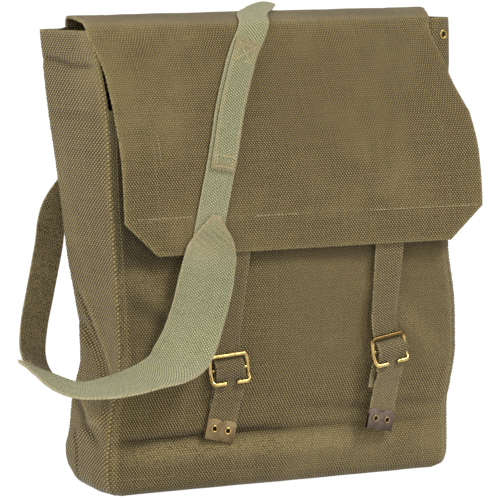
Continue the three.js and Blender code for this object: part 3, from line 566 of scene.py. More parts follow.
def front_strap_route():
    lift = ON_CLOTH + 2 * GAP
    first = flap_row(*STRAP_ON_FLAP[0], lift)[0]
    left = corner("backLeft", BODY_HEIGHT)[0]
    right = corner("backRight", BODY_HEIGHT)[0]
    across = (first[0] - left) / (right - left)
    drops = (STRAP_TUCK, STRAP_TUCK / 2, FLAP_RISE)
    down = [back_row(across, 1 - drop / BODY_HEIGHT, lift) for drop in drops]
    return Route(down + [flap_row(over, along, lift) for over, along in STRAP_ON_FLAP])


def loop_route():
    rows = []
    for x, y, z, turn, tilt, _ in LOOP:
        turn, tilt = math.radians(turn), math.radians(tilt)
        level = math.cos(tilt)
        cross = (level * math.cos(turn), level * math.sin(turn), math.sin(tilt))
        rows.append(((x * BODY_WIDTH, y * BODY_DEPTH, z * BODY_HEIGHT), cross))
    lift = ON_CLOTH + GAP - REAR_UNDER_PAD
    return Route(rows + [back_row(*row, lift, cross=(-1, 0, 0.35)) for row in LOOP_ANCHOR])


def pad_width(t):
    """The wide part's width, with its far end cut to a taper."""
    place = np.minimum(t * LOOP_STEPS, len(LOOP) - 1)
    return PAD_WIDTH * np.interp(place, np.arange(len(LOOP)), [row[-1] for row in LOOP])


def pad_cuts(t):
    """Widths cut off the wide part's right side at its top, and off its inner side at its end."""
    place = np.asarray(t, float) * LOOP_STEPS
    top = 7.5 * smoothstep(1.5, 0, place)
    return top, 17 * smoothstep(PAD_END_ROW - 1.6, PAD_END_ROW, place)


def cut_pad_width(t):
    return pad_width(t) - sum(pad_cuts(t))


def cut_pad_aside(t):
    top, end = pad_cuts(t)
    return (end - top) / 2


# Cloth


def edge_steps(length, spacing, edge, start=True, end=True):
    """Shares along a length: even steps, with close ones that round the cut edges."""
    inner = np.linspace(edge, length - edge, max(int(round((length - 2 * edge) / spacing)), 1) + 1)
    rim = edge * np.array([0.0, 0.08, 0.3, 0.62])
    parts = [rim if start else np.linspace(0, edge, 2)[:1], inner]
    parts.append(length - rim[::-1] if end else np.array([length]))
    return np.unique(np.round(np.concatenate(parts) / length, 7))


def rumple(points, size, seed):
    """A soft noise in -1..1 at each point, with lumps of a given size in millimetres."""
    flat = points.reshape(-1, 3) / size
    shift = Vector((seed * 7.3, seed * 3.1, seed * 5.7))
    values = [noise.noise(Vector(point) + shift) for point in flat]
    return np.array(values).reshape(points.shape[:-1])


class Cloth:
    """A closed sheet over a surface, with rounded edges, its weave in the UV map in metres, and
    named values at each point for its material."""

    def __init__(self, name, surface, us, vs, size, thickness, edge=None):
        self.name = name
        self.u, self.v = np.meshgrid(us, vs)
        self.size = size
        base = surface(self.u, self.v)
        across = surface(self.u + SLOPE_STEP, self.v) - surface(self.u - SLOPE_STEP, self.v)
        along = surface(self.u, self.v + SLOPE_STEP) - surface(self.u, self.v - SLOPE_STEP)
        self.base, self.normal = base, unit(np.cross(across, along))
        self.x, self.y = self.u * size[0], self.v * size[1]
        self.from_sides = np.minimum(self.x, size[0] - self.x)
        self.from_ends = np.minimum(self.y, size[1] - self.y)
        edge = thickness / 2 if edge is None else edge
        near = np.clip(np.minimum(self.from_sides, self.from_ends) / edge, 0, 1)
        self.half = thickness / 2 * np.sqrt(np.clip(1 - (1 - near) ** 2, 0, 1))
        self.moved = 0 * base[..., 0]
        self.outer = 0 * base[..., 0]
        self.inner = 0 * base[..., 0]
        self.values = {key: 0 * base[..., 0] for key in ("wear_and_painted_light", "stain", "shade", "lean", "soft")}
        self.turned = False

    def facing(self, out):
        """Turns the sheet over where its outer side looks away from the given directions."""
        if np.mean(np.sum(self.normal * np.asarray(out, float), -1)) < 0:
            self.normal = -self.normal
            self.turned = True
        return self

    def build(self):
        rows, columns = self.u.shape
        middle = self.base + self.normal * self.moved[..., None]
        top = middle + self.normal * (self.half + self.outer)[..., None]
        bottom = middle - self.normal * (self.half + self.inner)[..., None]
        points = np.concatenate([top.reshape(-1, 3), bottom.reshape(-1, 3)]) * MM
        corner_index = np.arange(rows * columns).reshape(rows, columns)
        a, b = corner_index[:-1, :-1].ravel(), corner_index[:-1, 1:].ravel()
        c, d = corner_index[1:, 1:].ravel(), corner_index[1:, :-1].ravel()
        over = np.stack([a, b, c, d], 1)
        under = np.stack([a, d, c, b], 1) + rows * columns
        faces = np.concatenate([over, under])
        if self.turned:
            faces = faces[:, ::-1]
        mesh = bpy.data.meshes.new(self.name)
        mesh.from_pydata(points.tolist(), [], faces.tolist())
        uv = np.tile(np.stack([self.x, self.y], -1).reshape(-1, 2), (2, 1)) * MM
        layer = mesh.uv_layers.new(name="weave")
        loops = np.zeros(len(mesh.loops), int)
        mesh.loops.foreach_get("vertex_index", loops)
        layer.data.foreach_set("uv", uv[loops].ravel())
        for key, field in self.values.items():
            held = mesh.attributes.new(key, "FLOAT", "POINT")
            held.data.foreach_set("value", np.tile(np.clip(field, -1, 1).ravel(), 2))
        close_edges(mesh)
        piece = bpy.data.objects.new(self.name, mesh)
        bpy.context.scene.collection.objects.link(piece)
        return piece


def close_edges(mesh):
    """Joins the two sides of a sheet along its edges and shades it smooth."""
    work = bmesh.new()
    work.from_mesh(mesh)
    bmesh.ops.remove_doubles(work, verts=work.verts, dist=2e-6)
    bmesh.ops.dissolve_degenerate(work, edges=work.edges, dist=1e-7)
    for face in work.faces:
        face.smooth = True
    work.to_mesh(mesh)
    work.free()


def finish_piece(piece, material, slot_name, *nodes):
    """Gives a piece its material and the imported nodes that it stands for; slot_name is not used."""
    piece.data.materials.clear()
    piece.data.materials.append(material)
    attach(piece, "root")
    if nodes:
        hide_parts(*nodes)
    return piece


# Shader nodes


class Value:
    """A number socket that takes part in plain arithmetic, adding Math nodes as it goes."""

    def __init__(self, shader, socket):
        self.shader, self.socket = shader, socket

    def maths(self, operation, *others, clamp=False):
        settings = dict(operation=operation, use_clamp=clamp)
        made = self.shader.node("ShaderNodeMath", settings, dict(enumerate([self, *others])))
        return Value(self.shader, made.outputs[0])

    def __add__(self, other):
        return self.maths("ADD", other)

    __radd__ = __add__

    def __sub__(self, other):
        return self.maths("SUBTRACT", other)

    def __rsub__(self, other):
        return self.maths("MULTIPLY_ADD", -1.0, other)

    def __mul__(self, other):
        return self.maths("MULTIPLY", other)

    __rmul__ = __mul__

    def __truediv__(self, other):
        return self.maths("DIVIDE", other)

    def __rtruediv__(self, other):
        return self.maths("POWER", -1.0) * other

    def __pow__(self, other):
        return self.maths("POWER", other)

    def __neg__(self):
        return self * -1.0

    def __abs__(self):
        return self.maths("ABSOLUTE")

    def sine(self):
        return self.maths("SINE")

    def clamped(self):
        return self.maths("ADD", 0.0, clamp=True)

    def between(self, low, high):
        """Rises smoothly from 0 at low to 1 at high."""
        settings = dict(interpolation_type="SMOOTHSTEP")
        made = self.shader.node(
            "ShaderNodeMapRange", settings, {"Value": self, "From Min": low, "From Max": high}
        )
        return Value(self.shader, made.outputs["Result"])

    def mix(self, low, high):
        """Goes from low to high as this value goes from 0 to 1."""
        inputs = {0: self, 2: low, 3: high}
        made = self.shader.node("ShaderNodeMix", dict(data_type="FLOAT"), inputs)
        return Value(self.shader, made.outputs[0])


class Shader:
    """One material's nodes round a Principled shader."""

    def __init__(self, name):
        self.material = bpy.data.materials.new(name)
        self.material.use_nodes = True
        self.tree = self.material.node_tree
        self.tree.nodes.clear()
        self.surface = self.node("ShaderNodeBsdfPrincipled")
        self.node("ShaderNodeOutputMaterial", None, {"Surface": self.surface.outputs[0]})

    def node(self, kind, settings=None, inputs=None):
        made = self.tree.nodes.new(kind)
        for key, value in (settings or {}).items():
            setattr(made, key, value)
        for key, value in (inputs or {}).items():
            self.feed(made.inputs[key], value)
        return made

    def feed(self, socket, value):
        if isinstance(value, Value):
            value = value.socket
        if isinstance(value, bpy.types.NodeSocket):
            self.tree.links.new(value, socket)
        else:
            socket.default_value = value

    def set(self, **inputs):
        for key, value in inputs.items():
            self.feed(self.surface.inputs[key.replace("_", " ")], value)

    def uv(self):
        """The weave's two directions, in millimetres."""
        source = self.node("ShaderNodeUVMap", dict(uv_map="weave"))
        parts = self.node("ShaderNodeSeparateXYZ", None, {0: source.outputs[0]})
        return Value(self, parts.outputs[0]) / MM, Value(self, parts.outputs[1]) / MM

    def place(self):
        """The point of the piece, in metres."""
        return self.node("ShaderNodeTexCoord").outputs["Object"]

    def attribute(self, name):
        return Value(self, self.node("ShaderNodeAttribute", dict(attribute_name=name)).outputs["Fac"])

    def noise(self, vector, scale, detail=2.0, roughness=0.5, distortion=0.0):
        inputs = {"Vector": vector, "Scale": scale, "Detail": detail}
        inputs.update({"Roughness": roughness, "Distortion": distortion})
        return Value(self, self.node("ShaderNodeTexNoise", None, inputs).outputs[0])

    def joined(self, x, y, z=0.0):
        return self.node("ShaderNodeCombineXYZ", None, {0: x, 1: y, 2: z}).outputs[0]

    def blend(self, factor, first, second, how="MIX"):
        settings = dict(data_type="RGBA", blend_type=how, clamp_factor=True)
        made = self.node("ShaderNodeMix", settings, {0: factor, 6: first, 7: second})
        return made.outputs[2]

    def bump(self, height, distance, strength=1.0):
        inputs = {"Height": height, "Distance": distance, "Strength": strength}
        return self.node("ShaderNodeBump", None, inputs).outputs[0]


def paint(code):
    """A colour from six hexadecimal digits, as the shader's own light values."""
    parts = [int(code[k : k + 2], 16) / 255 for k in (0, 2, 4)]
    linear = [c / 12.92 if c <= 0.04045 else ((c + 0.055) / 1.055) ** 2.4 for c in parts]
    return (*linear, 1.0)


def plain_weave(shader, u, v, pitch_u, pitch_v):
    """Over-and-under threads: their height, and 1 where the lengthwise one is on top."""
    wander = shader.noise(shader.joined(u * 0.12, v * 0.12), 1.0, 1.0) - 0.5
    across = (u / pitch_u + wander * 0.9) * math.pi
    along = (v / pitch_v + wander * 0.7) * math.pi
    side, run = across.sine(), along.sine()
    slant = across.maths("COSINE") * along.maths("COSINE") * shader.attribute("lean")
    over = ((side * run + slant) * 2.2 + 0.5).clamped()
    lengthwise = (abs(side) ** 0.8) * (abs(run) ** 0.5)
    crosswise = (abs(side) ** 0.5) * (abs(run) ** 0.8) * 0.5
    return over.mix(crosswise, lengthwise), over


def woven(name, light, dark, worn, stained, pitch, strength, rough):
    """A plain-woven cloth: threads, slubs, fading, worn edges and stains, with painted light and painted
    shade from its attributes.
    """
    shader = Shader(name)
    u, v = shader.uv()
    place = shader.place()
    height, over = plain_weave(shader, u, v, *pitch)
    slub = over.mix(
        shader.noise(shader.joined(u * 0.02, v * 1.1), 1.0, 2.0),
        shader.noise(shader.joined(u * 1.1, v * 0.02), 1.0, 2.0),
    )
    fuzz = shader.noise(place, 1900.0, 2.0)
    cloudy = shader.noise(place, 9.0, 4.0, 0.6)
    tone = (height * 0.75 + over * 0.28 + (slub - 0.5) * 0.5 + (fuzz - 0.5) * 0.35 - 0.07).clamped()
    tone = ((tone - 0.45) * 1.3 + 0.45).clamped()
    soft = shader.attribute("soft") * 0.85 + cloudy.between(0.5, 0.75) * 0.3
    tone = soft.clamped().mix(tone, tone * 0.3 + 0.25)
    colour = shader.blend(tone, paint(dark), paint(light))
    faded = (cloudy - 0.5).between(-0.05, 0.25) * 0.22
    colour = shader.blend(faded, colour, paint(worn))
    # Lightens towards the worn colour: real wear, and painted light where the attribute carries it, as on the
    # flap's fold and the rear strap.
    wear_and_painted_light = shader.attribute("wear_and_painted_light") * shader.noise(place, 420.0, 3.0).between(0.28, 0.62)
    colour = shader.blend((wear_and_painted_light * (height * 0.7 + 0.45)).clamped(), colour, paint(worn))
    stain = shader.attribute("stain") * (shader.noise(place, 60.0, 4.0, 0.7) * 0.9 + 0.35)
    colour = shader.blend(stain.clamped(), colour, paint(stained))
    shade = (shader.attribute("shade") * 0.6).clamped()
    colour = shader.blend(shade, colour, paint(dark), "MULTIPLY")
    shader.set(Base_Color=colour, Roughness=(tone * -0.08 + rough + (cloudy - 0.5) * 0.06))
    shader.set(Normal=shader.bump(height + (fuzz - 0.5) * 0.3 + (slub - 0.5) * 0.4, strength))
    shader.surface.inputs["Specular IOR Level"].default_value = 0.18
    shader.surface.inputs["Sheen Weight"].default_value = 0.12
    shader.surface.inputs["Sheen Roughness"].default_value = 0.5
    return shader.material


def canvas_cloth():
    return woven("khaki_canvas", "a79360", "2a200b", "ac9967", "5b4b2c", (1.18, 1.8), 0.0007, 0.92)


def olive_webbing():
    return woven("olive_webbing", "aa9668", "2e250f", "ad9c72", "6b5c3a", (1.6, 1.12), 0.0007, 0.9)


def pale_webbing():
    return woven("pale_webbing", "c9c69b", "60613f", "cabf9c", "a9946a", (1.6, 1.12), 0.0007, 0.9)


def metal(name, bright, dull, stain, rough):
    """A bent sheet or wire of brass: bright and dull in soft random patches, pitted, and darker and rougher
    where its dull attribute is set.
    """
    shader = Shader(name)
    place = shader.place()
    cloudy = shader.noise(place, 120.0, 3.0, 0.6)
    fine = shader.noise(place, 1500.0, 3.0, 0.6)
    scratches = shader.noise(shader.node(
        "ShaderNodeMapping", None, {"Vector": place, "Scale": (2600.0, 900.0, 240.0)}
    ).outputs[0], 1.0, 2.0)
    # The dull attribute darkens and roughens the metal where it is set: the right buckle's top bar and the
    # tips' lower ends.
    dullness = (cloudy.between(0.38, 0.72) + shader.attribute("dull")).clamped()
    colour = shader.blend(dullness * 0.75, paint(bright), paint(dull))
    pits = fine.between(0.6, 0.74) * cloudy.between(0.42, 0.62)
    colour = shader.blend(pits * 0.8, colour, paint(stain))
    colour = shader.blend(shader.attribute("dull") * 0.75, colour, paint(stain))
    shader.set(Base_Color=colour, Metallic=(1.0 - pits * 0.5))
    shader.set(Roughness=(dullness * 0.18 + rough + (scratches - 0.5) * 0.12 + pits * 0.2).clamped())
    shader.set(Normal=shader.bump(fine * 0.5 + scratches * 0.4, 0.00002))
    return shader.material


def bright_brass():
    return metal("bright_brass", "d6b978", "96753f", "46341b", 0.22)


def dark_brass():
    return metal("dark_brass", "8d7d70", "655649", "2e2622", 0.4)


def tan_brass():
    return metal("tan_brass", "a8916a", "7d6747", "3d3020", 0.42)


def thread_finish(name, light, dark):
    """A two-ply sewing thread, with its twist and loose fibres."""
    shader = Shader(name)
    place = shader.place()
    twist = shader.noise(place, 2600.0, 2.0)
    cloudy = shader.noise(place, 80.0, 3.0)
    shader.set(Base_Color=shader.blend((twist * 0.6 + cloudy * 0.5).clamped(), paint(dark), paint(light)))
    shader.set(Roughness=(twist * 0.1 + 0.82), Normal=shader.bump(twist, 0.0002))
    return shader.material


def floor_finish():
    shader = Shader("studio_floor")
    grain = shader.noise(shader.place(), 6.0, 3.0)
    shader.set(Base_Color=shader.blend(grain * 0.3, paint("181818"), paint("151515")))
    shader.set(Emission_Color=shader.blend(grain * 0.3, paint("ffffff"), paint("fefefe")))
    shader.set(Roughness=(grain * 0.1 + 0.85))
    shader.surface.inputs["Emission Strength"].default_value = 1.0
    return shader.material


# Panels


def bag_rumple(points):
    """The soft lumps that every cloth on the bag shares, in millimetres."""
    return 0.75 * rumple(points, 58, 1) + 0.3 * rumple(points, 21, 2)


def wall_lengths(wall):
    foot = BASE_RADIUS * math.pi / 2
    return foot, foot + wall_top(wall) - CLOTH / 2 - BASE_RADIUS


def even_wall_surface(wall):
    """A wall's surface by even shares of its cloth's length."""
    foot, length = wall_lengths(wall)
    shape = wall_surface(wall)

    def surface(u, s):
        run = s * length
        low = run / foot * ROUND_SHARE
        high = ROUND_SHARE + (run - foot) / (length - foot) * (1 - ROUND_SHARE)
        return shape(u, np.where(run < foot, low, high))

    return surface


# Sharper folds in the walls: wall, share and height where each starts and ends, depth and width
FOLDS = [
    ("front", 0.02, 48, 0.5, 45, -2.6, 2.3),
    ("front", 0.45, 44, 0.96, 46, -0.9, 2.0),
    ("front", 0.02, 36, 0.7, 31, 2.2, 7.5),
    ("front", 0.55, 66, 1.0, 58, -1.1, 4.0),
    ("front", 0.0, 190, 0.3, 128, 1.2, 9.0),
    ("front", 0.0, 168, 0.34, 108, -1.2, 7.0),
    ("front", 0.72, 170, 0.98, 96, 0.9, 10.0),
    ("left", 0.15, 160, 0.7, 92, -2.6, 2.2),
    ("left", 0.25, 166, 0.8, 100, 2.0, 4.0),
    ("left", 0.1, 84, 0.85, 58, 2.6, 4.5),
    ("left", 0.1, 74, 0.8, 44, -2.4, 3.2),
    ("left", 0.35, 50, 0.4, 8, -1.6, 3.0),
    ("left", 0.05, 359, 0.95, 357, -2.0, 2.0),
    ("left", 0.1, 318, 0.9, 312, -0.7, 3.0),
    ("right", 0.1, 120, 0.9, 84, -1.4, 5.0),
    ("right", 0.05, 300, 0.9, 270, 1.0, 9.0),
    ("back", 0.1, 60, 0.9, 52, -1.2, 4.0),
    ("back", 0.15, 300, 0.75, 180, 1.1, 14.0),
    ("back", 0.6, 330, 0.2, 210, -1.0, 10.0),
]


def wall_folds(wall, cloth):
    """Folds pressed into a wall by use, each fading at its two ends."""
    depth = 0 * cloth.u
    width, z = cloth.size[0], cloth.base[..., 2]
    for name, u0, z0, u1, z1, deep, wide in FOLDS:
        if name != wall:
            continue
        run = np.array([(u1 - u0) * width, z1 - z0])
        length = np.linalg.norm(run)
        from_start = np.stack([(cloth.u - u0) * width, z - z0], -1)
        along = from_start @ run / length**2
        away = (from_start[..., 0] * run[1] - from_start[..., 1] * run[0]) / length
        bowed = away + 1.6 * np.sin(along * 5.0 + z0) + 1.2 * rumple(cloth.base, 26, 31)
        fade = smoothstep(-0.15, 0.15, along) * smoothstep(1.2, 0.75, along)
        depth = depth + deep * np.exp(-((bowed / wide) ** 2)) * fade
    return depth


# The right gusset's front edge is free above the front panel, and curls in to face forwards
CURL_WIDTH, CURL_ANGLE, CURL_PROUD, CURL_SOFT = 20, 68, 6, 2.5


def curled_in(points, from_front):
    """Points on the right gusset, at distances from its front edge, with that edge curled in."""
    free = smoothstep(-6, 34, points[..., 2] - wall_top("front"))
    ahead = CURL_SOFT * np.logaddexp(0, (CURL_WIDTH - from_front) / CURL_SOFT)
    angle = math.radians(CURL_ANGLE) * free
    moved = np.array(points, float)
    moved[..., 0] += CURL_PROUD * free * smoothstep(48, 12, from_front) - ahead * np.sin(angle)
    moved[..., 1] += ahead * (1 - np.cos(angle))
    return moved


SEAM_ROUND = 0.5
SEAM_OVERLAP = 0.55
# The threads of the left gusset look wider spaced, as it is seen from the side
GUSSET_WEAVE = 0.5


# How far the back's and the right gusset's top edges rise, how far the left gusset's foot swells,
# and how deep the cloth is pressed in round the eyelet
BACK_RISE = 4.5
GUSSET_RISE = 2.6
FOOT_SWELL = 3.4
EYELET_DIP = 3.2


def shape_front(cloth):
    """Shade under the flap's hem and beside the strap, and a weave worn soft at the right."""
    z = cloth.base[..., 2]
    hem_z = flap_surface(cloth.u, 1.0 + 0 * cloth.u)[..., 2]
    covered = smoothstep(hem_z - 17, hem_z - 3, z)
    cloth.values["shade"] += covered * (0.75 - 0.25 * cloth.u)
    beside_strap = smoothstep(0.24, 0.06, cloth.u) * smoothstep(80, 140, z)
    cloth.values["shade"] += 0.35 * beside_strap
    cloth.values["soft"] += 0.85 * smoothstep(0.3, 0.62, cloth.u) * smoothstep(70, 110, z)


def shape_right(cloth):
    """The right gusset's raised top edge, and the dip round its eyelet."""
    cloth.base[..., 2] += GUSSET_RISE * smoothstep(60, 0, cloth.size[1] - cloth.y)
    away = np.linalg.norm(cloth.base - eyelet_axes()[1], axis=-1)
    cloth.moved -= EYELET_DIP * smoothstep(EYELET_HOLE / 2 + 1.2, EYELET_HOLE / 2 - 1.2, away)
    cloth.values["shade"] += smoothstep(EYELET_HOLE / 2 + 0.8, 0, away)


def shape_back(cloth):
    """The back's top edge, raised where the flap covers it."""
    under_flap = smoothstep(16, 30, cloth.from_sides)
    cloth.base[..., 2] += BACK_RISE * smoothstep(30, 0, cloth.size[1] - cloth.y) * under_flap


def shape_left(cloth):
    """The left gusset's soft, swollen foot."""
    z = cloth.base[..., 2]
    low = np.exp(-((z - 8) / 8) ** 2)
    cloth.moved += FOOT_SWELL * low * smoothstep(0, 0.3, cloth.u) * smoothstep(1, 0.7, cloth.u)


WALL_SHAPES = {"front": shape_front, "right": shape_right, "back": shape_back, "left": shape_left}


def wall_cloth(wall, name, width, spacing):
    """A body panel with its seams at the corners, its puckers and its hemmed top."""
    length = wall_lengths(wall)[1]
    us = edge_steps(width, spacing, SEAM_ROUND)
    vs = edge_steps(length, spacing, SEAM_ROUND)
    shape = even_wall_surface(wall)
    overlap = SEAM_OVERLAP / width

    def laid(u, v):
        points = shape(u + overlap * (2 * u - 1), v)
        return curled_in(points, u * width) if wall == "right" else points

    cloth = Cloth(name, laid, us, vs, (width, length), CLOTH, SEAM_ROUND)
    from_top = length - cloth.y
    inside = np.clip(cloth.from_sides / 12, 0, 1) * np.clip(cloth.from_ends / 12, 0, 1)
    cloth.moved += bag_rumple(cloth.base) * (0.35 + 0.65 * inside)
    folds = wall_folds(wall, cloth) * inside
    cloth.moved += folds
    cloth.values["shade"] += 0.42 * np.clip(-folds, 0, 1.6)
    cloth.values["wear_and_painted_light"] += 0.3 * np.clip(folds, 0, 1.5)
    WALL_SHAPES[wall](cloth)
    pucker = np.sin(cloth.y / 1.35 + 5 * rumple(cloth.base, 19, 3)) * np.exp(-cloth.from_sides / 7)
    cloth.moved += 0.22 * pucker
    seam = np.exp(-((cloth.from_sides - 3.0) / 2.4) ** 2)
    cloth.outer += 0.28 * seam * smoothstep(0, 1.2, cloth.from_sides)
    hem = smoothstep(HEM + 0.6, HEM - 0.6, from_top) if wall != "back" else 0 * from_top
    near = smoothstep(0, 1.5, np.minimum(cloth.from_ends, cloth.from_sides))
    cloth.inner += hem * HEM_THICKNESS * 0.6 * near
    cloth.outer -= 0.3 * np.exp(-((from_top - HEM + 1.5) / 0.8) ** 2) * near
    cloth.values["wear_and_painted_light"] += 0.35 * np.exp(-cloth.from_sides / 2.4) + 0.25 * seam
    cloth.values["wear_and_painted_light"] += 0.7 * np.exp(-from_top / 1.6)
    cloth.values["shade"] += 0.5 * np.exp(-cloth.y / 16) + 0.5 * np.exp(-cloth.from_sides / 0.7)
    cloth.values["lean"] += {"front": -0.35, "left": 0.25}.get(wall, 0.0)
    down = np.maximum(-cloth.normal[..., 2], 0)
    lowest = cloth.base[..., 2] - down * (cloth.moved + cloth.half + cloth.outer)
    cloth.moved += np.minimum(lowest, 0) / np.maximum(down, 0.2)
    if wall == "left":
        cloth.x = cloth.x * GUSSET_WEAVE
    return cloth


# How far the flap's two side edges are drawn in, positive to the right, at shares of its length
RIGHT_EDGE_DRAW = (
    (0.18, 0), (0.3, -5), (0.36, -9), (0.39, -13), (0.42, -13.5), (0.465, -10), (0.55, -4),
    (0.6, 1), (0.64, 4.5), (0.7, 3), (0.8, 2), (1.0, 0.5),
)
LEFT_EDGE_DRAW = ((0.3, 0), (0.36, -4), (0.39, -6.5), (0.42, -4.5), (0.5, -1), (0.6, 0))


def flap_cloth():
    """The flap: hemmed on three sides, rubbed pale along its edges, and pale along its fold from wear and a
    painted sheen.
    """
    us = edge_steps(FLAP_WIDTH, 2.0, CLOTH / 2)
    vs = edge_steps(FLAP_CUT_LENGTH, 1.8, CLOTH / 2)
    cloth = Cloth("flap_cloth", flap_surface, us, vs, (FLAP_WIDTH, FLAP_CUT_LENGTH), CLOTH)
    cloth.facing(cloth.base - np.array([0, 0, BODY_HEIGHT / 2]))
    from_hem = (1 - cloth.v) * FLAP_DROP * FLAP_HANG
    cut = np.maximum(FLAP_CHAMFER - from_hem, 0) / FLAP_WIDTH
    across = cut + cloth.u * (1 - 2 * cut)
    cloth.x = across * FLAP_WIDTH
    side = np.minimum(across, 1 - across) * FLAP_WIDTH
    edge = np.minimum(np.minimum(side, from_hem), (side + from_hem - FLAP_CHAMFER) * math.sqrt(0.5))
    cloth.edge = edge
    inside = np.clip(edge / 10, 0, 1)
    for side_share, table_rows in ((cloth.u, RIGHT_EDGE_DRAW), (1 - cloth.u, LEFT_EDGE_DRAW)):
        places, draws = np.array(table_rows).T
        cloth.base[..., 0] += smoothstep(0.7, 1, side_share) * np.interp(cloth.v, places, draws)
    cloth.moved += bag_rumple(cloth.base) * (0.5 + 0.5 * inside)
    cloth.moved += 0.2 * np.sin(cloth.x / 1.5 + 6 * rumple(cloth.base, 17, 5)) * np.exp(-from_hem / 9)
    near = smoothstep(0, 1.4, edge)
    from_fold = np.minimum(side, from_hem)
    hem = smoothstep(FLAP_HEM + 0.7, FLAP_HEM - 0.7, from_fold) * near
    cloth.inner += HEM_THICKNESS * hem
    cloth.outer += 0.3 * hem - 0.3 * np.exp(-((from_fold - FLAP_HEM + 1.4) / 0.8) ** 2) * near
    # A pale band along the fold: partly wear, partly a painted sheen where the bend catches the light.
    fold = np.exp(-((cloth.v - 0.358) / 0.018) ** 2)
    cloth.values["wear_and_painted_light"] += 0.95 * np.exp(-edge / 1.5) + 0.28 * fold
    cloth.values["wear_and_painted_light"] += 0.15 * np.exp(-((from_hem - FLAP_HEM) / 0.9) ** 2)
    cloth.values["lean"] += 0.35
    return cloth


def flap_spots(sides, heights):
    """Cloth shares of spots on the flap: millimetres in from its left side, and up from its hem."""
    sides, heights = np.broadcast_arrays(np.asarray(sides, float), np.asarray(heights, float))
    cut = np.maximum(FLAP_CHAMFER - heights, 0) / FLAP_WIDTH
    return (sides / FLAP_WIDTH - cut) / (1 - 2 * cut), 1 - heights / (FLAP_DROP * FLAP_HANG)


# Webbing pieces


def webbing_cloth(name, route, start, end, width, thickness, offset=0.0, spacing=1.4, aside=None):
    """A woven tape along a route, with thick selvedges and its cut ends rounded."""
    surface = band_surface(route, start, end, width, offset, aside)
    length = route.length(end) - route.length(start)
    widest = float(np.max(width(np.linspace(start, end, 80))))

    def even(u, s):
        run = route.length(start) + s * length
        t = route.share(run) + np.where(s < 0, s, 0) + np.where(s > 1, s - 1, 0)
        return surface(u, (t - start) / (end - start))

    us = edge_steps(widest, spacing, thickness / 2)
    vs = edge_steps(length, spacing, thickness / 2)
    cloth = Cloth(name, even, us, vs, (widest, length), thickness)
    here = route.share(route.length(start) + cloth.v * length)
    cloth.facing(route.frame(here)[2])
    cloth.real_width = width(here)
    cloth.x = (cloth.u - 0.5) * cloth.real_width
    cloth.from_sides = np.minimum(cloth.u, 1 - cloth.u) * cloth.real_width
    cloth.outer += 0.16 * np.exp(-((cloth.from_sides - 1.1) / 0.7) ** 2)
    cloth.values["wear_and_painted_light"] += 0.8 * np.exp(-cloth.from_sides / 0.9)
    cloth.values["wear_and_painted_light"] += 0.7 * np.exp(-cloth.from_ends / 2.2)
    return cloth


def even_width(width):
    return lambda t: width + 0 * np.asarray(t, float)


# How far the right closure strap's hump over its buckle goes sideways and outwards
HUMP_ASIDE, HUMP_OUT = 3.6, 1.6


def closure_strap_cloth(side):
    route = closure_route(CLOSURES[side])
    inside_tip = route.share(route.length(1) - TIP_LENGTH / 2 - TIP_HOLE / 2 - 1.6)
    width = even_width(CLOSURE_WIDTH)
    cloth = webbing_cloth(f"closure_strap_{side}_cloth", route, 0, inside_tip, width, WEBBING)
    settled = smoothstep(0, 40, cloth.from_ends)
    if side == "right":
        axes, origin = closure_frame(CLOSURES[side])
        along = (cloth.base - origin) @ axes[1]
        hump = np.exp(-(((along + 0.5) / 5.5) ** 2)) * smoothstep(0.35, 1.0, cloth.u)
        cloth.base += (HUMP_ASIDE * hump)[..., None] * axes[0] + (HUMP_OUT * hump)[..., None] * axes[2]
    cloth.moved += bag_rumple(cloth.base) * settled * 0.9
    cloth.moved += 0.25 * rumple(cloth.base, 9, 8)
    cloth.values["lean"] += 0.45
    return cloth


# How far each chape's sewn end shows beside its strap
CHAPE_SLIP = {"left": 0.6, "right": 4.6}


def chape_cloth(side):
    route = chape_route(CLOSURES[side])
    width = even_width(CLOSURE_WIDTH - GAP)
    slip = CHAPE_SLIP[side]
    cloth = webbing_cloth(
        f"buckle_chape_{side}_cloth", route, 0, 1, width, WEBBING, spacing=1.6,
        aside=lambda t: -slip * smoothstep(0.26, 0.04, t),
    )
    low = smoothstep(18, 2, cloth.y)
    cloth.base[..., 1] -= 0.35 * slip * low * smoothstep(0.3, 0, cloth.u)
    return cloth


def front_strap_cloth():
    route = front_strap_route()
    width = even_width(STRAP_WIDTH)
    cloth = webbing_cloth("shoulder_strap_front_cloth", route, 0, 1, width, WEBBING)
    ridge = cloth.base[..., 2].mean(1).argmax()
    peak = np.exp(-((cloth.y - cloth.y[ridge, 0]) / 15) ** 2)
    cloth.moved += bag_rumple(cloth.base) + (0.5 + 4.2 * np.sin(2.7 * cloth.u)) * peak
    hanging = cloth.normal[..., 1].mean(1) < -0.5
    start, bend = cloth.y[ridge, 0], cloth.y[hanging.argmax(), 0]
    past = np.maximum(cloth.y - bend, 0) + np.maximum(start - cloth.y, 0)
    cloth.base[..., 0] += 4.5 * np.exp(-((past / 17) ** 2))
    cloth.values["lean"] += 0.45
    cloth.values["stain"] += 0.3 * np.exp(-cloth.from_sides / 1.6)
    return cloth


# Where the sewn-on layer starts and ends, as shares of the front strap's route
LAP_SHARES = (0.699, 0.892)


def lap_cloth():
    """The second layer, sewn to the front strap: its two cut ends are tan and frayed."""
    route = front_strap_route()
    width = even_width(STRAP_WIDTH - 3.6)
    cloth = webbing_cloth(
        "shoulder_strap_lap_cloth", route, *LAP_SHARES, width, WEBBING, offset=LAYER,
        aside=even_width(1.3)
    )
    cloth.moved += bag_rumple(cloth.base)
    ends = np.exp(-((cloth.y / 11) ** 4)) + np.exp(-(((cloth.size[1] - cloth.y) / 8) ** 4))
    cloth.values["stain"] += 0.35 * np.exp(-cloth.from_sides / 1.6) + 0.4 * ends
    cloth.values["shade"] += 0.3 * ends
    cloth.values["lean"] += 0.45
    cloth.moved += 0.35 * ends * rumple(cloth.base, 5, 17)
    return cloth


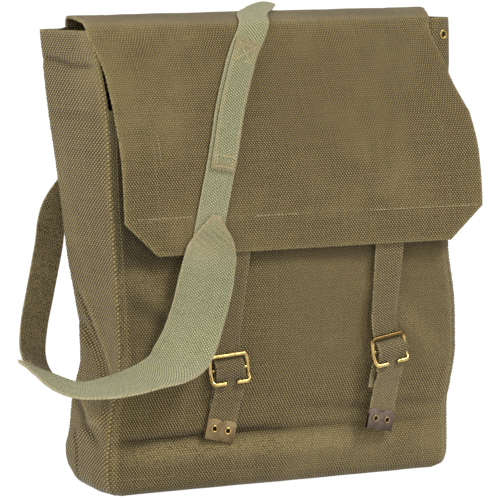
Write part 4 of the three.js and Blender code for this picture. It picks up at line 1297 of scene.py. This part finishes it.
def pad_cloth():
    """The wide part: folded to a point at the top, where gathers run down from the fold."""
    route = loop_route()
    cloth = webbing_cloth(
        "shoulder_strap_pad_cloth", route, 0, PAD_END_ROW / LOOP_STEPS, cut_pad_width, PAD_THICKNESS,
        spacing=1.5, aside=cut_pad_aside
    )
    down = cloth.y
    fan = np.sin(down * 1.15 - cloth.x * 0.55 + 2 * rumple(cloth.base, 14, 16))
    fan *= np.exp(-((down - 19) / 9) ** 2) * smoothstep(0, 4, cloth.from_sides)
    cloth.moved += 0.5 * fan
    cloth.base[..., 0] -= 5.0 * smoothstep(18, 0, cloth.size[1] - down)
    cloth.values["shade"] += 0.5 * np.clip(-fan, 0, 1)
    ribs = np.sin(down * 1.9 - cloth.x * 0.7)
    cloth.outer += 0.06 * ribs
    cloth.values["shade"] += 0.16 * np.clip(-ribs, 0, 1)
    cloth.moved += 0.5 * rumple(cloth.base, 34, 12) + 0.2 * rumple(cloth.base, 12, 13)
    cloth.values["lean"] += 0.45
    cloth.values["stain"] += 0.4 * np.exp(-cloth.from_sides / 1.6)
    cloth.values["stain"] += 0.9 * np.exp(-((down - 20) / 13) ** 2) * (0.5 + 0.5 * rumple(cloth.base, 16, 14))
    cloth.values["stain"] += 0.9 * np.exp(-cloth.from_ends / 4)
    return cloth


def rear_strap_cloth():
    route = loop_route()
    width = even_width(STRAP_WIDTH)
    cloth = webbing_cloth(
        "shoulder_strap_rear_cloth", route, REAR_START_ROW / LOOP_STEPS, 1, width, WEBBING,
        offset=-REAR_UNDER_PAD,
    )
    cloth.moved += 0.3 * rumple(cloth.base, 25, 15)
    # Lightened all over: partly paler, faded webbing, partly painted light, as the strap lies in shadow
    # behind the bag.
    cloth.values["wear_and_painted_light"] += 0.5 + 0.25 * rumple(cloth.base, 18, 18)
    return cloth


# Metal pieces


def wire_mesh(work, centres, radius, sides=16):
    """A round wire along points, with domed ends, added to a mesh being made."""
    centres = np.asarray(centres, float)
    tangents = unit(np.gradient(centres, axis=0))
    side = unit(np.cross(tangents[0], [0.3, 0.2, 0.93]))
    rings = []
    dome = [(-1.0, 0.0), (-0.9, 0.43), (-0.6, 0.8), (-0.25, 0.97)]
    stations = [(0, back, share) for back, share in dome]
    stations += [(i, 0.0, 1.0) for i in range(len(centres))]
    stations += [(len(centres) - 1, -back, share) for back, share in reversed(dome)]
    for i, beyond, share in stations:
        side = unit(side - tangents[i] * np.dot(side, tangents[i]))
        other = np.cross(tangents[i], side)
        centre = centres[i] + tangents[i] * beyond * radius * 0.6
        angles = np.linspace(0, 2 * math.pi, sides, endpoint=False)
        ring = centre + radius * max(share, 0.02) * (
            np.cos(angles)[:, None] * side + np.sin(angles)[:, None] * other
        )
        rings.append([work.verts.new(point * MM) for point in ring])
    for low, high in zip(rings, rings[1:]):
        for k in range(sides):
            work.faces.new([low[k], low[(k + 1) % sides], high[(k + 1) % sides], high[k]])
    work.faces.new(rings[0][::-1])
    work.faces.new(rings[-1])


def to_piece(name, work, smooth=True):
    bmesh.ops.recalc_face_normals(work, faces=work.faces)
    mesh = bpy.data.meshes.new(name)
    for face in work.faces:
        face.smooth = smooth
    work.to_mesh(mesh)
    work.free()
    piece = bpy.data.objects.new(name, mesh)
    bpy.context.scene.collection.objects.link(piece)
    return piece


# The frame's wire, the centre bar's wire and the corners' bends, as shares of the named sizes
WIRE_SHARE, BAR_SHARE, BEND_SHARE = 1.14, 0.92, 0.75


def buckle_piece(side):
    """A bent wire frame, open between its two prongs, with a straight centre bar."""
    closure = CLOSURES[side]
    axes, origin = closure_frame(closure)
    reach = (BUCKLE_WIDTH - BUCKLE_WIRE) / 2
    bend_radius = BEND_SHARE * BUCKLE_BEND
    inner_x, inner_y = reach - bend_radius, BAR_UP - bend_radius

    def out_at(y):
        return BAR_OUT if y > 0 else BAR_OUT + (PRONG_OUT - BAR_OUT) * (y / BAR_UP) ** 2

    def bend(cx, cy, begin):
        angles = np.linspace(begin, begin + math.pi / 2, 9)
        return [(cx + bend_radius * math.cos(a), cy + bend_radius * math.sin(a)) for a in angles]

    def straight(first, last, count):
        return [tuple(mix(np.array(first), np.array(last), k / count)) for k in range(1, count)]

    path = straight((PRONG_GAP / 2 - 0.7, -BAR_UP), (inner_x, -BAR_UP), 7)
    path += bend(inner_x, -inner_y, -math.pi / 2)
    path += straight((reach, -inner_y), (reach, inner_y), 12)
    path += bend(inner_x, inner_y, 0)
    path += straight((inner_x, BAR_UP), (-inner_x, BAR_UP), 12)
    path += bend(-inner_x, inner_y, math.pi / 2)
    path += straight((-reach, inner_y), (-reach, -inner_y), 12)
    path += bend(-inner_x, -inner_y, math.pi)
    path += straight((-inner_x, -BAR_UP), (-PRONG_GAP / 2 + 0.7, -BAR_UP), 7)
    world = [origin + x * axes[0] + y * axes[1] + out_at(y) * axes[2] for x, y in path]
    work = bmesh.new()
    wire_mesh(work, world, BUCKLE_WIRE / 2 * WIRE_SHARE)
    xs = np.linspace(-reach + 0.6, reach - 0.6, 16)
    wire_mesh(work, [origin + x * axes[0] + BAR_OUT * axes[2] for x in xs], BUCKLE_WIRE / 2 * BAR_SHARE)
    piece = to_piece(f"buckle_{side}_wire", work)
    # Darker and rougher along the right buckle's top bar.
    up = [float(np.dot(np.array(v.co) / MM - origin, axes[1])) / BAR_UP for v in piece.data.vertices]
    held = piece.data.attributes.new("dull", "FLOAT", "POINT")
    held.data.foreach_set("value", smoothstep(0.6, 0.95, np.array(up)) * (side == "right") * 0.9)
    return piece


def ring_mesh(work, centre, axes, profile, sides):
    """A turned ring about the third axis, from a closed profile of radius and height."""
    angles = np.linspace(0, 2 * math.pi, sides, endpoint=False)
    rings = []
    for radius, height in profile:
        spot = [
            centre + radius * (math.cos(a) * axes[0] + math.sin(a) * axes[1]) + height * axes[2]
            for a in angles
        ]
        rings.append([work.verts.new(point * MM) for point in spot])
    for low, high in zip(rings, rings[1:] + rings[:1]):
        for k in range(sides):
            work.faces.new([low[k], low[(k + 1) % sides], high[(k + 1) % sides], high[k]])


def rolled(inner, outer, height, thick, steps=5):
    """A rounded rim's profile, closed: up over a rolled top and back underneath."""
    angles = np.linspace(math.pi, 0, steps)
    middle, half = (inner + outer) / 2, (outer - inner) / 2
    top = [(middle + half * math.cos(a), height + thick * math.sin(a)) for a in angles]
    return top + [(outer, height - 0.15), (inner, height - 0.15)]


def tip_piece(side):
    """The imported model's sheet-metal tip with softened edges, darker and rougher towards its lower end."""
    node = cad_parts[f"strap_tip_{side}"]
    work = bmesh.new()
    work.from_mesh(node.data)
    bmesh.ops.remove_doubles(work, verts=work.verts, dist=1e-6)
    flat = [e for e in work.edges if e.is_manifold and e.calc_face_angle(0) < math.radians(1)]
    bmesh.ops.dissolve_edges(work, edges=flat, use_verts=False)
    sharp = [e for e in work.edges if e.is_manifold and e.calc_face_angle(0) > math.radians(50)]
    bmesh.ops.bevel(
        work, geom=sharp, offset=0.16 * MM, segments=2, profile=0.6, affect="EDGES", clamp_overlap=True
    )
    for face_made in work.faces:
        face_made.smooth = True
    piece = to_piece(f"strap_tip_{side}_sheet", work, smooth=False)
    # Darker and rougher towards the lower end, more so further down.
    heights = np.array([v.co.z for v in piece.data.vertices])
    low = (heights.max() - heights) / (heights.max() - heights.min())
    held = piece.data.attributes.new("dull", "FLOAT", "POINT")
    held.data.foreach_set("value", 0.75 * low**1.5)
    return piece


def tip_rims(side):
    """The rolled rims of the tip's two hollow rivets."""
    work = bmesh.new()
    route = closure_route(CLOSURES[side])
    above, end = route.points[-2], route.points[-1]
    up = unit(above - end)
    across = unit(route.crosses[-1] - up * np.dot(route.crosses[-1], up))
    axes = np.array([across, up, np.cross(across, up)])
    face = WEBBING / 2 + GAP + TIP_SHEET + 0.45
    for x in (-TIP_HOLE_SPACING / 2, TIP_HOLE_SPACING / 2):
        centre = end + x * axes[0] + TIP_LENGTH / 2 * axes[1]
        ring_mesh(work, centre, axes, rolled(TIP_HOLE / 2, TIP_HOLE / 2 + 1.25, face, 0.75), 28)
    return to_piece(f"strap_tip_{side}_rims", work)


def eyelet_axes():
    z = BODY_HEIGHT - EYELET_FROM_TOP
    share = EYELET_FROM_EDGE / BODY_DEPTH
    point = curled_in(wall_point("right", share, z), EYELET_FROM_EDGE)
    next_share = share + SLOPE_STEP
    ahead = unit(curled_in(wall_point("right", next_share, z), next_share * BODY_DEPTH) - point)
    up = np.array([0.0, 0.0, 1.0])
    return np.array([ahead, up, unit(np.cross(ahead, up))]), point


def eyelet_piece():
    """A brass eyelet: a rolled rim on each face of the gusset and a tube between them."""
    axes, centre = eyelet_axes()
    bore, rim = EYELET_HOLE / 2, EYELET_RIM / 2
    reach = CLOTH / 2 + GAP
    angles = np.linspace(0, math.pi, 7)
    top = [
        (mix(rim, bore, (1 - math.cos(a)) / 2), reach + 0.1 + EYELET_FLANGE * math.sin(a) * 1.3)
        for a in angles
    ]
    profile = top + [(r, -h) for r, h in reversed(top)]
    tube = bore + EYELET_TUBE
    profile += [(rim - 0.4, -reach), (tube, -reach + 0.1), (tube, reach - 0.1), (rim - 0.4, reach)]
    work = bmesh.new()
    ring_mesh(work, centre, axes, profile, 36)
    return to_piece("eyelet_right_rim", work)


# Stitches and loose fibres


class Tree:
    """A small Geometry Nodes tree whose inputs are named sizes."""

    def __init__(self, name, sizes):
        self.group = bpy.data.node_groups.new(name, "GeometryNodeTree")
        self.group.interface.new_socket("Geometry", in_out="OUTPUT", socket_type="NodeSocketGeometry")
        self.group.interface.new_socket("Geometry", in_out="INPUT", socket_type="NodeSocketGeometry")
        for size, kind in sizes.items():
            self.group.interface.new_socket(size, in_out="INPUT", socket_type=kind)
        self.given = self.node("NodeGroupInput").outputs

    def node(self, kind, settings=None, inputs=None):
        made = self.group.nodes.new(kind)
        for key, value in (settings or {}).items():
            setattr(made, key, value)
        for key, value in (inputs or {}).items():
            if isinstance(value, bpy.types.NodeSocket):
                self.group.links.new(value, made.inputs[key])
            else:
                made.inputs[key].default_value = value
        return made

    def ends_in(self, instances):
        real = self.node("GeometryNodeRealizeInstances", None, {0: instances})
        inputs = {"Geometry": real.outputs[0], "Material": self.given["Material"]}
        dressed = self.node("GeometryNodeSetMaterial", None, inputs)
        self.node("NodeGroupOutput", None, {0: dressed.outputs[0]})


def stitch_tree():
    """Sewn thread along edges: one short rounded length of thread after another."""
    number, whole = "NodeSocketFloat", "NodeSocketInt"
    sizes = {"Spacing": number, "Length": number, "Thickness": number, "Skew": number, "Seed": whole}
    tree = Tree("stitch_row", {**sizes, "Material": "NodeSocketMaterial"})
    given = tree.given
    curve = tree.node("GeometryNodeMeshToCurve", None, {0: given["Geometry"]})
    spots = tree.node(
        "GeometryNodeCurveToPoints", dict(mode="LENGTH"),
        {"Curve": curve.outputs[0], "Length": given["Spacing"]},
    )
    low = tree.node("ShaderNodeVectorMath", dict(operation="SCALE"), {0: (1, 1, 0.2), "Scale": given["Skew"]})
    back = tree.node("ShaderNodeVectorMath", dict(operation="SCALE"), {0: low.outputs[0], "Scale": -1.0})
    wobble = tree.node(
        "FunctionNodeRandomValue", dict(data_type="FLOAT_VECTOR"),
        {0: back.outputs[0], 1: low.outputs[0], "Seed": given["Seed"]},
    )
    turned = tree.node(
        "FunctionNodeRotateRotation", dict(rotation_space="LOCAL"),
        {0: spots.outputs["Rotation"], 1: wobble.outputs[0]},
    )
    shape = tree.node("GeometryNodeMeshUVSphere", None, {"Segments": 7, "Rings": 5, "Radius": 0.5})
    thread = tree.node(
        "ShaderNodeCombineXYZ", None, {0: given["Thickness"], 1: given["Thickness"], 2: given["Length"]}
    )
    made = tree.node(
        "GeometryNodeInstanceOnPoints", None,
        {"Points": spots.outputs[0], "Instance": shape.outputs[0], "Rotation": turned.outputs[0],
         "Scale": thread.outputs[0]},
    )
    tree.ends_in(made.outputs[0])
    return tree.group


def fibre_tree():
    """Loose fibres at points: thin bent threads, each turned and stretched by chance."""
    number, whole = "NodeSocketFloat", "NodeSocketInt"
    sizes = {"Length": number, "Thickness": number, "Spread": number, "Seed": whole}
    tree = Tree("loose_fibres", {**sizes, "Material": "NodeSocketMaterial"})
    given = tree.given
    spots = tree.node("GeometryNodeMeshToPoints", None, {0: given["Geometry"]})
    outward = tree.node("GeometryNodeInputNamedAttribute", dict(data_type="FLOAT_VECTOR"), {0: "outward"})
    aimed = tree.node("FunctionNodeAlignRotationToVector", dict(axis="Z"), {"Vector": outward.outputs[0]})
    low = tree.node("ShaderNodeVectorMath", dict(operation="SCALE"), {0: (1, 1, 6), "Scale": given["Spread"]})
    back = tree.node("ShaderNodeVectorMath", dict(operation="SCALE"), {0: low.outputs[0], "Scale": -1.0})
    chance = tree.node(
        "FunctionNodeRandomValue", dict(data_type="FLOAT_VECTOR"),
        {0: back.outputs[0], 1: low.outputs[0], "Seed": given["Seed"]},
    )
    turned = tree.node(
        "FunctionNodeRotateRotation", dict(rotation_space="LOCAL"),
        {0: aimed.outputs[0], 1: chance.outputs[0]},
    )
    bent = tree.node(
        "GeometryNodeCurveQuadraticBezier", None,
        {"Resolution": 5, "Start": (0, 0, 0), "Middle": (0.05, 0, 0.5), "End": (0.32, 0.1, 0.95)},
    )
    slim = tree.node("ShaderNodeMath", dict(operation="DIVIDE"), {0: given["Thickness"], 1: given["Length"]})
    round_profile = tree.node(
        "GeometryNodeCurvePrimitiveCircle", None, {"Resolution": 4, "Radius": slim.outputs[0]}
    )
    strand = tree.node(
        "GeometryNodeCurveToMesh", None,
        {"Curve": bent.outputs[0], "Profile Curve": round_profile.outputs[0], "Fill Caps": True},
    )
    tall = tree.node(
        "FunctionNodeRandomValue", dict(data_type="FLOAT"), {2: 0.35, 3: 1.0, "Seed": given["Seed"]}
    )
    scale = tree.node("ShaderNodeMath", dict(operation="MULTIPLY"), {0: tall.outputs[1], 1: given["Length"]})
    made = tree.node(
        "GeometryNodeInstanceOnPoints", None,
        {"Points": spots.outputs[0], "Instance": strand.outputs[0], "Rotation": turned.outputs[0],
         "Scale": scale.outputs[0]},
    )
    tree.ends_in(made.outputs[0])
    return tree.group


def grow(name, group, mesh, sizes):
    """Runs a tree on a mesh and keeps the result as a plain mesh."""
    holder = bpy.data.objects.new(name + "_rows", mesh)
    bpy.context.scene.collection.objects.link(holder)
    modifier = holder.modifiers.new("rows", "NODES")
    modifier.node_group = group
    for item in group.interface.items_tree:
        if item.in_out == "INPUT" and item.name in sizes:
            modifier[item.identifier] = sizes[item.name]
    view = bpy.context.evaluated_depsgraph_get()
    made = bpy.data.meshes.new_from_object(holder.evaluated_get(view))
    holder.modifiers.remove(modifier)
    bpy.data.objects.remove(holder)
    made.name = name
    for polygon in made.polygons:
        polygon.use_smooth = True
    piece = bpy.data.objects.new(name, made)
    bpy.context.scene.collection.objects.link(piece)
    return piece


def lines_mesh(name, lines):
    """Separate lines of points, in millimetres, as one mesh of edges."""
    points, edges = [], []
    for line in lines:
        first = len(points)
        points += [tuple(np.asarray(point) * MM) for point in line]
        edges += [(k, k + 1) for k in range(first, len(points) - 1)]
    mesh = bpy.data.meshes.new(name)
    mesh.from_pydata(points, edges, [])
    return mesh


def sew(name, lines, finish, spacing=2.9, length=2.3, thickness=0.62, skew=0.12, seed=3):
    """Rows of stitches along lines on the cloth."""
    sizes = {"Spacing": spacing * MM, "Length": length * MM, "Thickness": thickness * MM}
    sizes.update({"Skew": skew, "Seed": seed, "Material": finish})
    piece = grow(name, TREES["stitches"], lines_mesh(name, lines), sizes)
    return finish_piece(piece, finish, "canvas")


def on_cloth(cloth, us, vs, lift=0.0):
    """Points on a finished sheet's outer face, at shares of its cloth."""
    columns, rows = cloth.u[0], cloth.v[:, 0]
    us, vs = np.broadcast_arrays(np.asarray(us, float), np.asarray(vs, float))
    raised = cloth.moved + (cloth.half + cloth.outer + lift)
    face = cloth.base + cloth.normal * raised[..., None]
    i = np.clip(np.searchsorted(columns, us) - 1, 0, len(columns) - 2)
    j = np.clip(np.searchsorted(rows, vs) - 1, 0, len(rows) - 2)
    s = ((us - columns[i]) / (columns[i + 1] - columns[i]))[..., None]
    t = ((vs - rows[j]) / (rows[j + 1] - rows[j]))[..., None]
    low = mix(face[j, i], face[j, i + 1], s)
    high = mix(face[j + 1, i], face[j + 1, i + 1], s)
    return mix(low, high, t)


# Sewing


def wall_stitch_lines(cloth, hemmed):
    """Rows beside both corner seams, above the base's seam, and along the top hem."""
    width, length = cloth.size
    heights = np.linspace(17, length - 3, 160) / length
    lines = [on_cloth(cloth, side / width, heights, 0.1) for side in (4.4, width - 4.4)]
    across = np.linspace(5, width - 5, 120) / width
    lines.append(on_cloth(cloth, across, 19 / length, 0.1))
    if hemmed:
        lines.append(on_cloth(cloth, across, (length - HEM + 1.6) / length, 0.1))
    else:
        lines.append(on_cloth(cloth, across, (length - 5) / length, 0.1))
    return lines


def box_lines(cloth, low, high, half_width, crossed=True):
    """A sewn box, and the cross in it, on a strap's outer face between two lengths of it."""
    length = cloth.size[1]
    corners = [(-half_width, low), (half_width, low), (half_width, high), (-half_width, high)]
    sides = list(zip(corners, corners[1:] + corners[:1]))
    if crossed:
        sides += [(corners[0], corners[2]), (corners[1], corners[3])]
    lines = []
    for (x0, y0), (x1, y1) in sides:
        t = np.linspace(0, 1, 12)
        lines.append(on_cloth(cloth, mix(x0, x1, t) / STRAP_WIDTH + 0.5, mix(y0, y1, t) / length, 0.1))
    return lines


def sew_body(panels, khaki):
    for wall in WALLS:
        lines = wall_stitch_lines(panels[wall], wall != "back")
        sew(f"{wall}_wall_stitches", lines, khaki, seed=WALLS.index(wall) + 3)


def sew_flap(cloth, khaki, pale):
    """Hem rows, most of them rubbed down to the cloth's colour, and the pale stretches left."""
    low, high = FLAP_HEM - 1.4, FLAP_WIDTH - FLAP_HEM + 1.4
    tall = np.linspace(FLAP_HEM, 292, 150)
    wide = np.linspace(7, FLAP_WIDTH - 7, 160)
    rows = [(low, tall), (high, tall), (wide, low)]
    rows += [(wide, FLAP_DROP * FLAP_HANG * share) for share in (0.984, 0.962)]
    lines = [on_cloth(cloth, *flap_spots(x, y), 0.02) for x, y in rows]
    sew("flap_stitches", lines, khaki, thickness=0.6, seed=11)
    stretches = [(np.linspace(12, 58, 20), low + 2.5), (np.linspace(224, 316, 40), low)]
    stretches += [(low + 5, np.linspace(76, 98, 10)), (np.linspace(118, 152, 16), low + 0.5)]
    lines = [on_cloth(cloth, *flap_spots(x, y), 0.2) for x, y in stretches]
    sew("flap_pale_stitches", lines, pale, spacing=2.9, length=2.0, thickness=0.66, skew=0.3, seed=12)


def sew_straps(shoulder, chapes, khaki, pale, tan):
    front, lap = shoulder["shoulder_strap_front"], shoulder["shoulder_strap_lap"]
    rear = shoulder["shoulder_strap_rear"]
    sew("strap_front_box", box_lines(front, 4, 27, 9.5), pale, seed=21)
    length = rear.size[1]
    sew("strap_rear_box", box_lines(rear, length - 27, length - 4, 9.5), khaki, seed=22)
    length = lap.size[1]
    lines = box_lines(lap, 3.5, 17, 8, crossed=True) + box_lines(lap, length - 12, length - 3, 8, False)
    sew("strap_lap_boxes", lines, tan, spacing=2.4, length=2.6, thickness=1.0, skew=0.7, seed=23)
    edges = [on_cloth(lap, side, np.linspace(0.02, 0.98, 60), 0.05) for side in (0.11, 0.9)]
    sew("strap_lap_edges", edges, tan, thickness=0.6, seed=24)
    for k, (side, chape) in enumerate(chapes.items()):
        sew(f"chape_{side}_rows", box_lines(chape, 2.5, 11, 9.5), khaki, seed=25 + k)


def grow_fibres(name, points, outward, finish, slot_name, length, thickness, spread, seed):
    """Fibres at points, in millimetres, each pointing along its own outward direction."""
    mesh = bpy.data.meshes.new(name)
    mesh.from_pydata((points * MM).tolist(), [], [])
    held = mesh.attributes.new("outward", "FLOAT_VECTOR", "POINT")
    held.data.foreach_set("vector", unit(outward).ravel())
    sizes = {"Length": length * MM, "Thickness": thickness * MM, "Spread": spread, "Seed": seed}
    sizes["Material"] = finish
    finish_piece(grow(name, TREES["fibres"], mesh, sizes), finish, slot_name)


def fray(name, cloth, share, count, finish, slot_name, length=3.5, thickness=0.14, spread=0.7, seed=5):
    """Loose fibres along a cut end of a strap, pointing off its end."""
    chance = np.random.default_rng(seed)
    us = np.sort(chance.uniform(0.03, 0.97, count))
    step = 0.004 if share < 0.5 else -0.004
    points = on_cloth(cloth, us, share + step, -0.5)
    outward = points - on_cloth(cloth, us, share + 3 * step, -0.5)
    grow_fibres(name, points, outward, finish, slot_name, length, thickness, spread, seed)


def fuzz_edge(name, cloth, us, vs, finish, slot_name, seed):
    """Short worn fibres that stand off an edge of the cloth."""
    points = on_cloth(cloth, us, vs, -0.6)
    outward = points - on_cloth(cloth, mix(us, 0.5, 0.02), mix(vs, 0.5, 0.02), -0.6)
    grow_fibres(name, points, outward, finish, slot_name, 1.7, 0.11, 0.9, seed)


def fray_ends(shoulder, chapes, flap, tan, khaki):
    lap, pad = shoulder["shoulder_strap_lap"], shoulder["shoulder_strap_pad"]
    fray("lap_top_fibres", lap, 0.0, 70, tan, "pale_webbing", length=4.4, thickness=0.2, spread=1.3, seed=31)
    fray("lap_low_fibres", lap, 1.0, 30, tan, "pale_webbing", length=1.6, seed=32)
    fray("pad_end_fibres", pad, 1.0, 60, tan, "pale_webbing", length=3.4, seed=33)
    fray("pad_point_fibres", pad, 0.0, 24, tan, "pale_webbing", length=2.0, seed=34)
    for k, (side, chape) in enumerate(chapes.items()):
        fray(f"chape_{side}_fibres", chape, 0.0, 44, khaki, "olive_webbing", length=3.6, seed=35 + k)
    chance = np.random.default_rng(41)
    wide = chance.uniform(0.01, 0.99, 420)
    fuzz_edge("flap_hem_fibres", flap, wide, 0 * wide + 0.9985, khaki, "canvas", 42)
    tall = chance.uniform(0.4, 0.99, 200)
    fuzz_edge("flap_left_fibres", flap, 0 * tall + 0.0015, tall, khaki, "canvas", 43)
    fuzz_edge("flap_right_fibres", flap, 0 * tall + 0.9985, tall, khaki, "canvas", 44)


# Assembly

TREES = {"stitches": stitch_tree(), "fibres": fibre_tree()}


# Each wall's node, the width of its cloth and the spacing of its mesh, in millimetres
PANELS = {
    "front": ("front_panel", 300, 2.4),
    "right": ("gusset_right", 100, 1.8),
    "back": ("back_panel", 325, 3.0),
    "left": ("gusset_left", 100, 1.8),
}


def make_panels(canvas):
    panels = {}
    for wall, (node, width, spacing) in PANELS.items():
        panels[wall] = wall_cloth(wall, node + "_cloth", width, spacing)
        finish_piece(panels[wall].build(), canvas, "canvas", node)
    us, vs = edge_steps(290, 4, 1), edge_steps(80, 4, 1)
    base = Cloth("base_panel_cloth", base_surface, us, vs, (290, 80), CLOTH).facing((0, 0, -1))
    base.values["wear_and_painted_light"] += 0.5 + 0.4 * rumple(base.base, 30, 21)
    finish_piece(base.build(), canvas, "canvas", "base_panel")
    return panels


def make_flap(canvas):
    cloth = flap_cloth()
    piece = finish_piece(cloth.build(), canvas, "canvas", "flap")
    return cloth


def make_closures(webbing, brass, dull_brass, worn_brass):
    chapes = {}
    tips = {
        "left": (worn_brass, brass, "brass"),
        "right": (dull_brass, worn_brass, "dark_brass"),
    }
    for side in CLOSURES:
        strap = closure_strap_cloth(side)
        finish_piece(strap.build(), webbing, "olive_webbing", f"closure_strap_{side}")
        chapes[side] = chape_cloth(side)
        finish_piece(chapes[side].build(), webbing, "olive_webbing", f"buckle_chape_{side}")
        finish_piece(buckle_piece(side), brass, "brass", f"buckle_{side}")
        sheet, rims, slot_name = tips[side]
        finish_piece(tip_piece(side), sheet, slot_name, f"strap_tip_{side}")
        finish_piece(tip_rims(side), rims, slot_name)
    return chapes


def make_shoulder_strap(pale, olive):
    parts = {
        "shoulder_strap_front": (front_strap_cloth(), pale, "pale_webbing"),
        "shoulder_strap_lap": (lap_cloth(), pale, "pale_webbing"),
        "shoulder_strap_pad": (pad_cloth(), pale, "pale_webbing"),
        "shoulder_strap_rear": (rear_strap_cloth(), olive, "olive_webbing"),
    }
    for node, (cloth, finish, slot_name) in parts.items():
        finish_piece(cloth.build(), finish, slot_name, node)
    return {node: made[0] for node, made in parts.items()}


def make_floor():
    mesh = bpy.data.meshes.new("studio_floor")
    reach = 60.0
    spots = [(-reach, -reach, 0), (reach, -reach, 0), (reach, reach, 0), (-reach, reach, 0)]
    mesh.from_pydata(spots, [], [(0, 1, 2, 3)])
    floor = bpy.data.objects.new("studio_floor", mesh)
    floor.data.materials.append(floor_finish())
    bpy.context.scene.collection.objects.link(floor)


def add_area_light(name, place, aim, size, power):
    data = bpy.data.lights.new(name, "AREA")
    data.shape, data.size, data.size_y = "RECTANGLE", size[0], size[1]
    data.energy = power
    light = bpy.data.objects.new(name, data)
    light.location = place
    light.rotation_euler = (Vector(aim) - Vector(place)).to_track_quat("-Z", "Y").to_euler()
    bpy.context.scene.collection.objects.link(light)


def add_sun(name, source, spread, power):
    """A wide, even light from a direction: it doesn't fall off over the floor."""
    data = bpy.data.lights.new(name, "SUN")
    data.angle, data.energy = math.radians(spread), power
    light = bpy.data.objects.new(name, data)
    light.location = source
    light.rotation_euler = Vector(source).to_track_quat("Z", "Y").to_euler()
    bpy.context.scene.collection.objects.link(light)


# Where each sun comes from, its spread in degrees and its strength
SUNS = {"key": ((0.85, -0.85, 1.5), 13, 2.25), "side": ((-1.5, -0.3, 0.6), 50, 2.45)}


def make_light():
    world = bpy.data.worlds.new("studio")
    world.use_nodes = True
    backdrop = world.node_tree.nodes["Background"]
    backdrop.inputs["Color"].default_value = (0.97, 0.98, 1.0, 1)
    backdrop.inputs["Strength"].default_value = 0.38
    bpy.context.scene.world = world
    middle = (0, 0, 0.2)
    for name, (source, spread, power) in SUNS.items():
        add_sun(name, source, spread, power)
    add_area_light("front_box", (0.5, -2.0, 0.9), middle, (0.5, 1.2), 9)


# The camera: angles in degrees, distance and target in metres, sensor and lens in millimetres
CAMERA_AZIMUTH, CAMERA_ELEVATION, CAMERA_ROLL = -20.5, 6.5, -1.08
CAMERA_DISTANCE = 2.2
CAMERA_TARGET = (-0.0085, 0.0, 0.1934)
CAMERA_SENSOR, CAMERA_LENS = 36, 185.6


def make_camera():
    """The photograph's viewpoint: a long lens, a little above and to the bag's left."""
    azimuth, elevation = math.radians(CAMERA_AZIMUTH), math.radians(CAMERA_ELEVATION)
    target = Vector(CAMERA_TARGET)
    away = Vector((
        math.sin(azimuth) * math.cos(elevation), -math.cos(azimuth) * math.cos(elevation), math.sin(elevation)
    ))
    data = bpy.data.cameras.new("photo_camera")
    data.sensor_width, data.lens = CAMERA_SENSOR, CAMERA_LENS
    data.clip_start, data.clip_end = 0.05, 120
    camera = bpy.data.objects.new("photo_camera", data)
    camera.location = target + away * CAMERA_DISTANCE
    look = (-away).to_track_quat("-Z", "Y")
    camera.rotation_euler = (look.to_matrix() @ Matrix.Rotation(math.radians(CAMERA_ROLL), 3, "Z")).to_euler()
    bpy.context.scene.collection.objects.link(camera)
    bpy.context.scene.camera = camera


make_camera()
canvas_finish, olive_finish, pale_finish = canvas_cloth(), olive_webbing(), pale_webbing()
brass_finish, dull_brass_finish = bright_brass(), dark_brass()
panels = make_panels(canvas_finish)
flap = make_flap(canvas_finish)
chapes = make_closures(olive_finish, brass_finish, dull_brass_finish, tan_brass())
shoulder = make_shoulder_strap(pale_finish, olive_finish)
khaki_thread = thread_finish("khaki_thread", "9a8b60", "5d5233")
pale_thread = thread_finish("pale_thread", "cdc199", "8f8158")
tan_thread = thread_finish("tan_thread", "d2c093", "9a8558")
sew_body(panels, khaki_thread)
sew_flap(flap, khaki_thread, pale_thread)
sew_straps(shoulder, chapes, khaki_thread, pale_thread, tan_thread)
fray_ends(shoulder, chapes, flap, tan_thread, khaki_thread)
finish_piece(eyelet_piece(), brass_finish, "brass", "eyelet_right")
make_floor()
make_light()
bpy.context.scene.view_settings.view_transform = "Standard"
